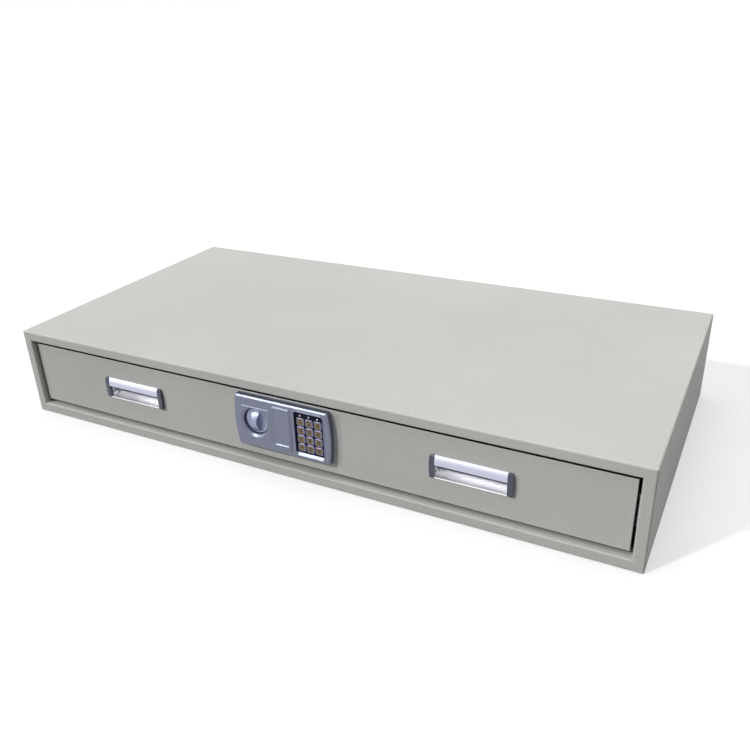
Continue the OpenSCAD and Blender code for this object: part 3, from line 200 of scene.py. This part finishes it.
def coat_group():
    """Fine grain of a sprayed coat: two layers of noise for the relief, a slow one for the tone."""
    t, given, out = group("fine_coat", [("Grain size", 1.2 * MM), ("Tone change", 0.04)],
                          [("Tone", "NodeSocketFloat"), ("Height", "NodeSocketFloat"),
                           ("Gloss change", "NodeSocketFloat")])
    place = t.place()
    scale = t.math("DIVIDE", 1.0, given.outputs["Grain size"])
    fine = t.noise("grain", place, scale, detail=2.0)
    pits = t.noise("peel", place, t.math("MULTIPLY", scale, 0.35), detail=1.0)
    slow = t.noise("tone", place, scale=3.0, detail=3.0)
    specks = t.math("MULTIPLY", t.math("SUBTRACT", fine, 0.5), 0.8)
    blotch = t.math("SUBTRACT", slow, 0.5)
    both = t.math("MULTIPLY", t.math("ADD", specks, blotch), given.outputs["Tone change"])
    t.link(t.math("ADD", both, 1.0), out.inputs["Tone"])
    t.link(t.math("ADD", fine, pits), out.inputs["Height"])
    t.link(t.math("MULTIPLY", blotch, 0.25), out.inputs["Gloss change"])
    return t.tree


def brush_group():
    """Streaks along X, in two widths: noise stretched by the given length along the brushing."""
    t, given, out = group("brushing", [("Streak width", 0.6 * MM), ("Length", 120.0)],
                          [("Streak", "NodeSocketFloat"), ("Height", "NodeSocketFloat")])
    place = t.place()
    scale = t.math("DIVIDE", 1.0, given.outputs["Streak width"])
    along = t.math("DIVIDE", scale, given.outputs["Length"])
    squeeze = t.node("ShaderNodeCombineXYZ", inputs={0: along, 1: scale, 2: scale}).outputs[0]
    stretched = t.vector("MULTIPLY", place, squeeze)
    fine = t.noise("hairlines", stretched, scale=1.0, detail=3.0)
    wide = t.noise("bands", stretched, scale=0.22, detail=1.0)
    streak = t.math("ADD", t.math("MULTIPLY", fine, 0.6), t.math("MULTIPLY", wide, 0.4))
    t.link(streak, out.inputs["Streak"])
    t.link(fine, out.inputs["Height"])
    return t.tree


def plate_group():
    """Plating: soft clouds with fine crystals, from noise and a Voronoi cell pattern."""
    t, given, out = group("plating", [("Cell size", 6.0 * MM), ("Depth", 0.12)],
                          [("Tone", "NodeSocketFloat"), ("Height", "NodeSocketFloat")])
    place = t.place()
    scale = t.math("DIVIDE", 1.0, given.outputs["Cell size"])
    cells = t.node("ShaderNodeTexVoronoi", "crystals", {"Vector": place, "Scale": scale})
    clouds = t.noise("clouds", place, scale=9.0, detail=5.0)
    cell = t.node("ShaderNodeSeparateColor", inputs={0: cells.outputs["Color"]}).outputs[0]
    mixed = t.math("ADD", t.math("MULTIPLY", cell, 0.5), t.math("MULTIPLY", clouds, 0.9))
    deep = t.math("MULTIPLY", t.math("SUBTRACT", mixed, 0.7), given.outputs["Depth"])
    t.link(t.math("ADD", deep, 1.0), out.inputs["Tone"])
    t.link(clouds, out.inputs["Height"])
    return t.tree


def key_group(pitch, middle, face):
    """Mask of the keys' middles: distance to a rounded rectangle repeated at the keys' pitch.
    A point is taken to its cell by a fraction, and the distance is the length of what sticks out
    of the inner rectangle, less the corner's radius."""
    t, given, out = group("key_faces", [("Corner", 1.6 * MM), ("Edge", 0.3 * MM)],
                          [("Face", "NodeSocketFloat")])
    place = t.place()
    moved = t.vector("SUBTRACT", place, (middle[0] - pitch[0] / 2, 0.0, middle[1] - pitch[1] / 2))
    cell = t.vector("FRACTION", t.vector("MULTIPLY", moved, (1 / pitch[0], 0.0, 1 / pitch[1])))
    offset = t.vector("SUBTRACT", cell, (0.5, 0.0, 0.5))
    centred = t.vector("MULTIPLY", offset, (pitch[0], 0.0, pitch[1]))
    corner = given.outputs["Corner"]
    spread = t.node("ShaderNodeCombineXYZ", inputs={0: corner, 1: 0.0, 2: corner}).outputs[0]
    inner = t.vector("SUBTRACT", (face[0] / 2, 0.0, face[1] / 2), spread)
    beyond = t.vector("MAXIMUM", t.vector("SUBTRACT", t.vector("ABSOLUTE", centred), inner))
    away = t.math("SUBTRACT", t.vector("LENGTH", beyond), corner)
    soft = t.math("DIVIDE", away, given.outputs["Edge"])
    t.link(t.math("SUBTRACT", 0.5, soft, clamp=True), out.inputs["Face"])
    return t.tree


GROUPS = {}


def effect(name, build, *values):
    """The named group, built once."""
    if name not in GROUPS:
        GROUPS[name] = build(*values)
    return GROUPS[name]


def surface(name, base, roughness, metallic=0.0, **sockets):
    """A material with a Principled shader; returns the material, its node maker and the shader."""
    made = bpy.data.materials.new(name)
    made.use_nodes = True
    t = Tree(made.node_tree)
    shader = made.node_tree.nodes["Principled BSDF"]
    shader.inputs["Base Color"].default_value = (*base, 1.0)
    shader.inputs["Roughness"].default_value = roughness
    shader.inputs["Metallic"].default_value = metallic
    for key, value in sockets.items():
        shader.inputs[key.replace("_", " ")].default_value = value
    made.diffuse_color = (*base, 1.0)
    return made, t, shader


def use(t, name, build, **values):
    """Places a shared group in a material with its own values."""
    made = t.node("ShaderNodeGroup")
    made.node_tree = effect(name, build)
    for key, value in values.items():
        made.inputs[key.replace("_", " ")].default_value = value
    return made


def toned(t, shader, tone, base):
    """The base colour times a tone that changes over the surface."""
    t.link(t.scale(base, tone), shader.inputs["Base Color"])


def shaded(t, shader, change, roughness):
    """A roughness with a change that varies over the surface."""
    t.link(t.math("ADD", change, roughness), shader.inputs["Roughness"])


def relief(t, shader, height, strength, distance):
    """A bump from a height that changes over the surface."""
    bump = t.node("ShaderNodeBump", inputs={"Height": height, "Strength": strength,
                                            "Distance": distance})
    t.link(bump.outputs[0], shader.inputs["Normal"])


def coated(name, base, roughness, peel, size=1.2 * MM, change=0.05, metallic=0.0, **sockets):
    """Sprayed or moulded finish with fine grain."""
    made, t, shader = surface(name, base, roughness, metallic, **sockets)
    coat = use(t, "fine_coat", coat_group, Grain_size=size, Tone_change=change)
    toned(t, shader, coat.outputs["Tone"], base)
    shaded(t, shader, coat.outputs["Gloss change"], roughness)
    relief(t, shader, coat.outputs["Height"], strength=peel, distance=0.2 * MM)
    return made


def paint_shade_behind(made, edge, behind):
    """Paints shade on a coated finish: another colour where the surface lies behind a plane."""
    t = Tree(made.node_tree)
    shader = made.node_tree.nodes["Principled BSDF"]
    place = t.place()
    depth = t.node("ShaderNodeSeparateXYZ", inputs={0: place}).outputs[1]
    tone = shader.inputs["Base Color"].links[0].from_socket
    mixed = t.mix(t.math("GREATER_THAN", depth, behind), tone, edge)
    t.link(mixed, shader.inputs["Base Color"])
    return made


def plated(name, base, roughness, cell=6.0 * MM, depth=0.12):
    """Plated or bare metal."""
    made, t, shader = surface(name, base, roughness, metallic=1.0)
    plate = use(t, "plating", plate_group, Cell_size=cell, Depth=depth)
    toned(t, shader, plate.outputs["Tone"], base)
    relief(t, shader, plate.outputs["Height"], strength=0.05, distance=0.3 * MM)
    return made


def band(t, value, low, high):
    """1 where a value lies between two limits."""
    return t.math("MULTIPLY", t.math("GREATER_THAN", value, low), t.math("LESS_THAN", value, high))


def brushed(name, base, inside, hood_y, hood_z, shade_lines, roughness, strength):
    """Aluminium brushed along X. Its hood, in front of a plane and over a height, is matt. All
    else is polished lighter, partly as a painted reflection, with painted shade: slightly darker
    end walls and dark lines, each between two heights or two depths."""
    end_wall, end_shade, shade_tone = 0.7, 0.10, 0.12
    polish, polish_change = 0.27, 0.05
    made, t, shader = surface(name, base, roughness, metallic=1.0)
    streaks = use(t, "brushing", brush_group, Streak_width=0.6 * MM)
    streak = streaks.outputs["Streak"]
    tone = t.math("ADD", t.math("MULTIPLY", t.math("SUBTRACT", streak, 0.5), strength), 1.0)
    where = t.node("ShaderNodeTexCoord")
    split = t.node("ShaderNodeSeparateXYZ", inputs={0: where.outputs["Object"]})
    sideways = t.node("ShaderNodeSeparateXYZ", inputs={0: where.outputs["Normal"]}).outputs[0]
    hood = t.math("MULTIPLY", t.math("LESS_THAN", split.outputs[1], hood_y),
                  t.math("GREATER_THAN", split.outputs[2], hood_z))
    # Painted shade: the trough's end walls, whose normals point along X, are made slightly darker.
    at_end = t.math("GREATER_THAN", t.math("ABSOLUTE", sideways), end_wall)
    shade = t.math("MULTIPLY", at_end, end_shade)
    # Painted shade: each line darkens a band, the one at the back for the hood's shadow on the
    # trough.
    for axis, (low, high, depth) in shade_lines.items():
        line = t.math("MULTIPLY", band(t, split.outputs[axis], low, high), depth)
        shade = t.math("MAXIMUM", shade, line)
    inside_shaded = t.mix(shade, inside, tuple(shade_tone * c for c in base))
    # Partly painted light: the hood takes the darker metal colour, all else the much lighter inside
    # colour.
    toned(t, shader, tone, t.mix(hood, inside_shaded, base))
    matt = t.math("MULTIPLY", hood, roughness - polish - polish_change)
    shaded(t, shader, t.math("ADD", t.math("MULTIPLY", streak, polish_change), matt), polish)
    relief(t, shader, streaks.outputs["Height"], strength=strength * 0.1, distance=0.03 * MM)
    return made


def seen_or_mirrored(t):
    """1 for a ray from the camera or one that a surface mirrors or lets through, and else 0."""
    ray = t.node("ShaderNodeLightPath").outputs
    sent_on = t.math("MAXIMUM", ray["Is Glossy Ray"], ray["Is Transmission Ray"])
    return t.math("MAXIMUM", ray["Is Camera Ray"], sent_on)


def stand(name, data):
    """A new object in the scene, at the world's origin."""
    made = bpy.data.objects.new(name, data)
    bpy.context.scene.collection.objects.link(made)
    return made


def grid_mesh(name, points, sharp):
    """A mesh over a grid of points, rows by columns by 3, closed round its columns. The first and
    the last row are single points. Edges that turn by more than the sharp angle, in degrees, stay
    sharp."""
    rows, columns = points.shape[:2]
    ring = np.arange(columns)
    after = (ring + 1) % columns
    inner = 1 + np.arange(rows - 2)[:, None] * columns
    sides = np.stack([inner[:-1] + ring, inner[1:] + ring, inner[1:] + after,
                      inner[:-1] + after], axis=-1)
    last = 1 + (rows - 2) * columns
    start = np.column_stack([np.zeros(columns, int), 1 + ring, 1 + after])
    end = np.column_stack([np.full(columns, last), inner[-1] + after, inner[-1] + ring])
    corners = np.vstack([points[0, :1], points[1:-1].reshape(-1, 3), points[-1, :1]])
    mesh = bpy.data.meshes.new(name)
    faces = sides.reshape(-1, 4).tolist() + start.tolist() + end.tolist()
    mesh.from_pydata(corners.tolist(), [], faces)
    mesh.polygons.foreach_set("use_smooth", np.ones(len(mesh.polygons), bool))
    mesh.set_sharp_from_angle(angle=math.radians(sharp))
    return mesh


def dress(made, *names):
    """Gives CAD nodes their material."""
    for name in names:
        slots = NODES[name].data.materials
        slots.clear()
        slots.append(made)


# Operators

class SAFE_OT_steel(bpy.types.Operator):
    """Powder coat on the casing, the back panel and the drawer, whose front has a dark edge of
    painted shade
    """
    bl_idname = "safe.steel"
    bl_label = "Paint the steel"

    def execute(self, context):
        steel = context.scene.safe_steel
        paint, front = (coated(name, steel.paint[:], steel.paint_roughness, steel.peel,
                               size=2.8 * MM, change=0.24, Specular_IOR_Level=0.15)
                        for name in ("powder_coat", "front_coat_painted_shade"))
        dress(paint, "casing_shell", "back_panel", "drawer_tray", "tray_front")
        # Painted shade: behind its front face the drawer front is near black, for the shade in the
        # gap round it.
        low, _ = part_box("drawer_front")
        gap_shade_y = low.y + 0.35 * MM
        dress(paint_shade_behind(front, steel.edge[:], gap_shade_y), "drawer_front")
        return {"FINISHED"}


class SAFE_OT_slides(bpy.types.Operator):
    """Plating on slides, brackets and lock steelwork, bare steel on balls, bolts and fasteners"""
    bl_idname = "safe.slides"
    bl_label = "Plate the steelwork"

    def execute(self, context):
        steel = context.scene.safe_steel
        zinc = plated("zinc_plate", steel.zinc[:], roughness=0.38)
        bare = plated("bare_steel", steel.steel[:], roughness=0.22, cell=2.0 * MM, depth=0.06)
        dress(zinc, "strike_bar", "slide_bracket_left", "slide_bracket_right", "outer_rail_left",
              "outer_rail_right", "inner_rail_left", "inner_rail_right", "middle_rail_left",
              "middle_rail_right", "lock_cover", "bolt_carrier", "solenoid_body", "barrel_nut",
              "key_cam")
        dress(bare, "rail_rivets", "drawer_screws", "ball_cage_outer_left", "ball_cage_outer_right",
              "ball_cage_inner_left", "ball_cage_inner_right", "locking_bolts", "knob_spindle",
              "guide_studs", "solenoid_plunger", "battery_contacts")
        return {"FINISHED"}


class SAFE_OT_pulls(bpy.types.Operator):
    """Brushed aluminium pulls with glossy end caps"""
    bl_idname = "safe.pulls"
    bl_label = "Finish the pulls"

    def execute(self, context):
        pulls = context.scene.safe_pulls
        low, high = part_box("handle_left")
        hood_y, hood_z = low.y + 4.9 * MM, high.z - 16.5 * MM
        # Painted shade: a dark line along the trough's back for the hood's shadow, and a grey one
        # before the lip.
        hood_shadow_line, lip_shade_line = high.z - 32.0 * MM, low.y + 3.0 * MM
        shade_lines = {2: (hood_shadow_line, hood_shadow_line + 2.8 * MM, 0.9), 1: (lip_shade_line, lip_shade_line + 1.6 * MM, 0.4)}
        metal = brushed("pull_aluminium", pulls.metal[:], pulls.trough[:], hood_y, hood_z, shade_lines,
                        roughness=0.55, strength=pulls.brush)
        dress(metal, "handle_left", "handle_right")
        caps = coated("end_cap", pulls.cap[:], roughness=0.16, peel=0.05, change=0.1,
                      Coat_Weight=0.5)
        dress(caps, "handle_caps")
        return {"FINISHED"}


class SAFE_OT_lock(bpy.types.Operator):
    """Silver paint on lock panel, knob and override cover, and brass on the override lock"""
    bl_idname = "safe.lock"
    bl_label = "Finish the lock panel"

    def execute(self, context):
        lock = context.scene.safe_lock
        lighter = 1.45
        silver = coated("lock_silver", lock.silver[:], lock.silver_roughness, peel=0.06,
                        size=0.5 * MM, change=0.06, metallic=0.60)
        turned = coated("knob_silver", [min(1.0, lighter * c) for c in lock.silver[:]],
                        roughness=0.45, peel=0.05, size=0.5 * MM, change=0.05, metallic=0.95)
        dress(silver, "lock_housing", "key_cover")
        dress(turned, "knob")
        self.knob(lock, turned)
        brass = plated("lock_brass", (0.62, 0.45, 0.17), roughness=0.25, cell=2.0 * MM, depth=0.08)
        dress(brass, "key_barrel", "key_plug")
        dress(coated("nylon", (0.80, 0.79, 0.74), roughness=0.45, peel=0.1), "knob_bush")
        return {"FINISHED"}

    def knob(self, lock, turned):
        """The knob as one closed grid: from the middle of its front out over the rim, down the
        side, in along the back and the hub, and into the spindle's bore. Inside the rim the front
        is a shallow dish, a parabola in the distance from the middle. A bar stands in it. Its top
        is an arc of a circle along the knob, slightly crowned across, and its half width grows
        from a waist to flared ends with the square of the distance along the knob. A smooth step
        in the distance beyond that width makes its side walls."""
        low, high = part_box("knob")
        centre = (low + high) / 2
        radius, edge, rim_in, step_in = (high.x - low.x) / 2, 1.2 * MM, 19.5 * MM, 0.4 * MM
        waist, flare, wall, crown = 4.6 * MM, 9.0 * MM, 1.5 * MM, 0.5 * MM
        rim_y, back_y = low.y + 9.5 * MM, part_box("drawer_front")[0].y - 1.7 * MM
        hub_r, bore_r, bore_rest = 9.0 * MM, 4.05 * MM, 1.0 * MM
        around, rings, bends, sharp = 360, 80, 8, 32
        turn = np.linspace(0.0, 2 * np.pi, around, endpoint=False)
        out = np.concatenate([np.linspace(0.0, rim_in, rings),
                              [rim_in + step_in, radius - edge - step_in]])
        bend = np.linspace(0.0, np.pi / 2, bends)
        r = np.concatenate([out, radius - edge + edge * np.sin(bend),
                            [radius, hub_r, hub_r, bore_r, bore_r, 0.0]])
        y = np.concatenate([np.full(len(out), rim_y), rim_y + edge - edge * np.cos(bend),
                            [back_y, back_y, high.y, high.y],
                            [back_y - bore_rest, back_y - bore_rest]])
        x = r[:, None] * np.cos(turn)
        z = r[:, None] * np.sin(turn)
        y = np.repeat(y[:, None], around, axis=1)
        front = np.arange(len(r)) < len(out)
        arc = (rim_in ** 2 + lock.ridge ** 2) / (2 * lock.ridge)
        rise = np.sqrt(np.maximum(arc ** 2 - z ** 2, 0.0)) - (arc - lock.ridge)
        width = waist + (flare - waist) * (z / rim_in) ** 2
        top = np.maximum(rise - crown * (x / width) ** 2, 0.0)
        step = np.clip((width + wall - np.abs(x)) / wall, 0.0, 1.0)
        bar = step * step * (3.0 - 2.0 * step) * np.clip((rim_in - r[:, None]) / edge, 0.0, 1.0)
        dish = lock.dish * (1.0 - np.clip(r[:, None] / rim_in, 0.0, 1.0) ** 2)
        y = y + front[:, None] * (dish * (1.0 - bar) - top * bar)
        mesh = grid_mesh("knob_turned", np.stack([centre.x + x, y, centre.z + z], axis=-1), sharp)
        mesh.materials.append(turned)
        piece = stand("knob_turned", mesh)
        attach(piece, "knob")
        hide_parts("knob")


class SAFE_OT_keypad(bpy.types.Operator):
    """The keypad's window, lamps and board, and the keys with their golden faces and figures"""
    bl_idname = "safe.keypad"
    bl_label = "Finish the keypad"

    def execute(self, context):
        lock = context.scene.safe_lock
        window = coated("window_black", lock.window[:], roughness=0.25, peel=0.02,
                        Specular_IOR_Level=0.1)
        dress(window, "keypad_window")
        lamp = coated("lamp", (0.92, 0.92, 0.94), roughness=0.15, peel=0.02,
                      Emission_Strength=0.25, Emission_Color=(1.0, 1.0, 1.0, 1.0))
        dress(lamp, "status_lights")
        board = coated("board_lacquer", (0.012, 0.10, 0.035), roughness=0.3, peel=0.1,
                       size=3.0 * MM, change=0.4)
        dress(board, "keypad_board")
        boxes = {name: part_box(name) for name in KEYS}
        centres = {name: (low + high) / 2 for name, (low, high) in boxes.items()}
        pitch = (centres["key_2"].x - centres["key_1"].x, centres["key_2"].z - centres["key_5"].z)
        middle = (centres["key_2"].x, centres["key_2"].z)
        face = (11.0 * MM, 11.6 * MM)
        keys, t, shader = surface("key", lock.key_rim[:], roughness=0.32, metallic=0.35)
        faces = t.node("ShaderNodeGroup")
        faces.node_tree = effect("key_faces", key_group, pitch, middle, face)
        coat = use(t, "fine_coat", coat_group, Grain_size=0.9 * MM, Tone_change=0.5)
        gold = t.scale(lock.key_face[:], coat.outputs["Tone"])
        both = t.mix(faces.outputs["Face"], lock.key_rim[:], gold)
        t.link(both, shader.inputs["Base Color"])
        relief(t, shader, coat.outputs["Height"], strength=0.08, distance=0.1 * MM)
        dress(keys, *KEYS)
        ink = coated("figure_ink", lock.digit[:], roughness=0.4, peel=0.05)
        for name, letter in KEYS.items():
            self.figure(name, letter, boxes[name], ink, lock)
        return {"FINISHED"}

    def figure(self, name, letter, box, ink, lock):
        """One figure: the font's outline, made slightly bolder, given its thickness, turned to
        face the front and centred on its key."""
        low, high = box
        bolder, inset = 0.2 * MM, 0.3 * MM
        drawn = bpy.data.curves.new(f"{name}_line", "FONT")
        drawn.body = letter
        drawn.size = lock.digit_size
        drawn.extrude = lock.digit_rise
        drawn.offset = bolder
        drawn.align_x = "CENTER"
        drawn.resolution_u = 3
        holder = stand(f"{name}_line", drawn)
        shaped = holder.evaluated_get(bpy.context.evaluated_depsgraph_get())
        mesh = bpy.data.meshes.new_from_object(shaped)
        bpy.data.objects.remove(holder)
        bpy.data.curves.remove(drawn)
        count = len(mesh.vertices)
        flat = np.zeros(count * 3)
        mesh.vertices.foreach_get("co", flat)
        flat = flat.reshape(-1, 3)
        middle = (flat.min(0) + flat.max(0)) / 2
        placed = np.column_stack([(low.x + high.x) / 2 + flat[:, 0] - middle[0],
                                  low.y + inset - flat[:, 2],
                                  (low.z + high.z) / 2 + flat[:, 1] - middle[1]])
        mesh.vertices.foreach_set("co", placed.ravel())
        mesh.name = f"{name}_figure"
        mesh.materials.clear()
        mesh.materials.append(ink)
        piece = stand(f"{name}_figure", mesh)
        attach(piece, name)


class SAFE_OT_power(bpy.types.Operator):
    """Battery case, cells, reset switch and cable"""
    bl_idname = "safe.power"
    bl_label = "Finish the batteries"

    def execute(self, context):
        black = coated("black_moulding", (0.018, 0.018, 0.020), roughness=0.35, peel=0.2)
        dress(black, "battery_case", "battery_door", "reset_switch")
        sleeve = coated("cell_sleeve", (0.05, 0.05, 0.06), roughness=0.2, peel=0.03)
        dress(sleeve, "batteries")
        sheath = coated("cable_sheath", (0.02, 0.02, 0.02), roughness=0.5, peel=0.2)
        dress(sheath, "cable")
        red = coated("red_moulding", (0.40, 0.03, 0.02), roughness=0.3, peel=0.1)
        dress(red, "reset_button")
        return {"FINISHED"}


class SAFE_OT_stage(bpy.types.Operator):
    """White floor, soft lights and the camera at the photograph's angle"""
    bl_idname = "safe.stage"
    bl_label = "Set the stage"

    def execute(self, context):
        stage = context.scene.safe_stage
        self.floor(stage)
        self.camera(stage)
        self.lights(stage)
        return {"FINISHED"}

    def floor(self, stage):
        """A square floor, white to the camera and darker to the light that it throws back."""
        half, level = 60.0, -0.2 * MM
        made = bpy.data.materials.new("floor")
        made.use_nodes = True
        made.node_tree.nodes.clear()
        t = Tree(made.node_tree)
        seen = seen_or_mirrored(t)
        shade = t.mix(seen, (stage.floor_bounce,) * 3, (stage.floor_white,) * 3)
        diffuse = t.node("ShaderNodeBsdfDiffuse", inputs={"Color": shade})
        lifted = t.math("MULTIPLY", seen, stage.floor_lift)
        lift = t.node("ShaderNodeEmission", inputs={"Strength": lifted})
        both = t.node("ShaderNodeAddShader", inputs={0: diffuse.outputs[0], 1: lift.outputs[0]})
        t.node("ShaderNodeOutputMaterial", inputs={"Surface": both.outputs[0]})
        mesh = bpy.data.meshes.new("floor")
        mesh.from_pydata([(-half, -half, level), (half, -half, level), (half, half, level),
                          (-half, half, level)], [], [(0, 1, 2, 3)])
        mesh.materials.append(made)
        floor = stand("floor", mesh)

    def camera(self, stage):
        """The camera stands at its eye point, looks at its aim and is rolled about its view."""
        eye, aim = Vector(stage.eye), Vector(stage.aim)
        ahead = (aim - eye).normalized()
        right = ahead.cross(Vector((0, 0, 1))).normalized()
        up = right.cross(ahead)
        c, s = math.cos(stage.roll), math.sin(stage.roll)
        across, upward = right * c + up * s, up * c - right * s
        data = bpy.data.cameras.new("camera")
        data.lens = stage.lens
        data.sensor_width = 36.0
        data.clip_start, data.clip_end = 0.01, 100.0
        camera = stand("camera", data)
        turn = Matrix((across, upward, -ahead)).transposed()
        camera.matrix_world = Matrix.Translation(eye) @ turn.to_4x4()
        bpy.context.scene.camera = camera

    def lights(self, stage):
        """A key light from the upper left front, a lower one further left, a soft one overhead and
        a weak sky. Each lamp has the direction it shines from, its strength and its spread in
        degrees. The sky is white where it is seen or mirrored."""
        scene = bpy.context.scene
        scene.view_settings.view_transform = "Standard"
        world = bpy.data.worlds.new("world")
        world.use_nodes = True
        world.node_tree.nodes.clear()
        t = Tree(world.node_tree)
        seen = seen_or_mirrored(t)
        glow = t.math("ADD", t.math("MULTIPLY", seen, 1.0 - stage.sky), stage.sky)
        light = t.node("ShaderNodeBackground", inputs={"Color": (1.0, 1.0, 1.0, 1.0),
                                                       "Strength": glow})
        t.node("ShaderNodeOutputWorld", inputs={"Surface": light.outputs[0]})
        scene.world = world
        for name, source, strength, spread in (
                ("key", (-0.46, -0.64, 0.61), 1.35, 4.0),
                ("left", (-0.80, -0.55, 0.22), 0.7, 12.0),
                ("overhead", (0.05, 0.10, 1.0), 1.75, 70.0)):
            data = bpy.data.lights.new(name, "SUN")
            data.energy = strength
            data.angle = math.radians(spread)
            lamp = stand(name, data)
            lamp.location = Vector(source).normalized() * 3.0
            lamp.rotation_euler = Vector(source).to_track_quat("Z", "Y").to_euler()


class SAFE_PT_panel(bpy.types.Panel):
    """Lists the pieces and what can be changed"""
    bl_idname = "SAFE_PT_panel"
    bl_label = "Under-bed safe"
    bl_space_type = "VIEW_3D"
    bl_region_type = "UI"
    bl_category = "Safe"

    def draw(self, context):
        layout = self.layout
        for kind, attribute, operators in PARTS:
            box = layout.box()
            settings = getattr(context.scene, attribute)
            for name in kind.__annotations__:
                box.prop(settings, name)
            for operator in operators:
                box.operator(operator.bl_idname)


PARTS = (
    (SafeSteel, "safe_steel", (SAFE_OT_steel, SAFE_OT_slides)),
    (SafePulls, "safe_pulls", (SAFE_OT_pulls,)),
    (SafeLock, "safe_lock", (SAFE_OT_lock, SAFE_OT_keypad, SAFE_OT_power)),
    (SafeStage, "safe_stage", (SAFE_OT_stage,)),
)


def register():
    for kind, attribute, operators in PARTS:
        bpy.utils.register_class(kind)
        setattr(bpy.types.Scene, attribute, bpy.props.PointerProperty(type=kind))
        for operator in operators:
            bpy.utils.register_class(operator)
    bpy.utils.register_class(SAFE_PT_panel)


def unregister():
    bpy.utils.unregister_class(SAFE_PT_panel)
    for kind, attribute, operators in reversed(PARTS):
        for operator in reversed(operators):
            bpy.utils.unregister_class(operator)
        delattr(bpy.types.Scene, attribute)
        bpy.utils.unregister_class(kind)


def main():
    register()
    bpy.ops.safe.steel()
    bpy.ops.safe.slides()
    bpy.ops.safe.pulls()
    bpy.ops.safe.lock()
    bpy.ops.safe.keypad()
    bpy.ops.safe.power()
    bpy.ops.safe.stage()


if __name__ == "__main__":
    main()
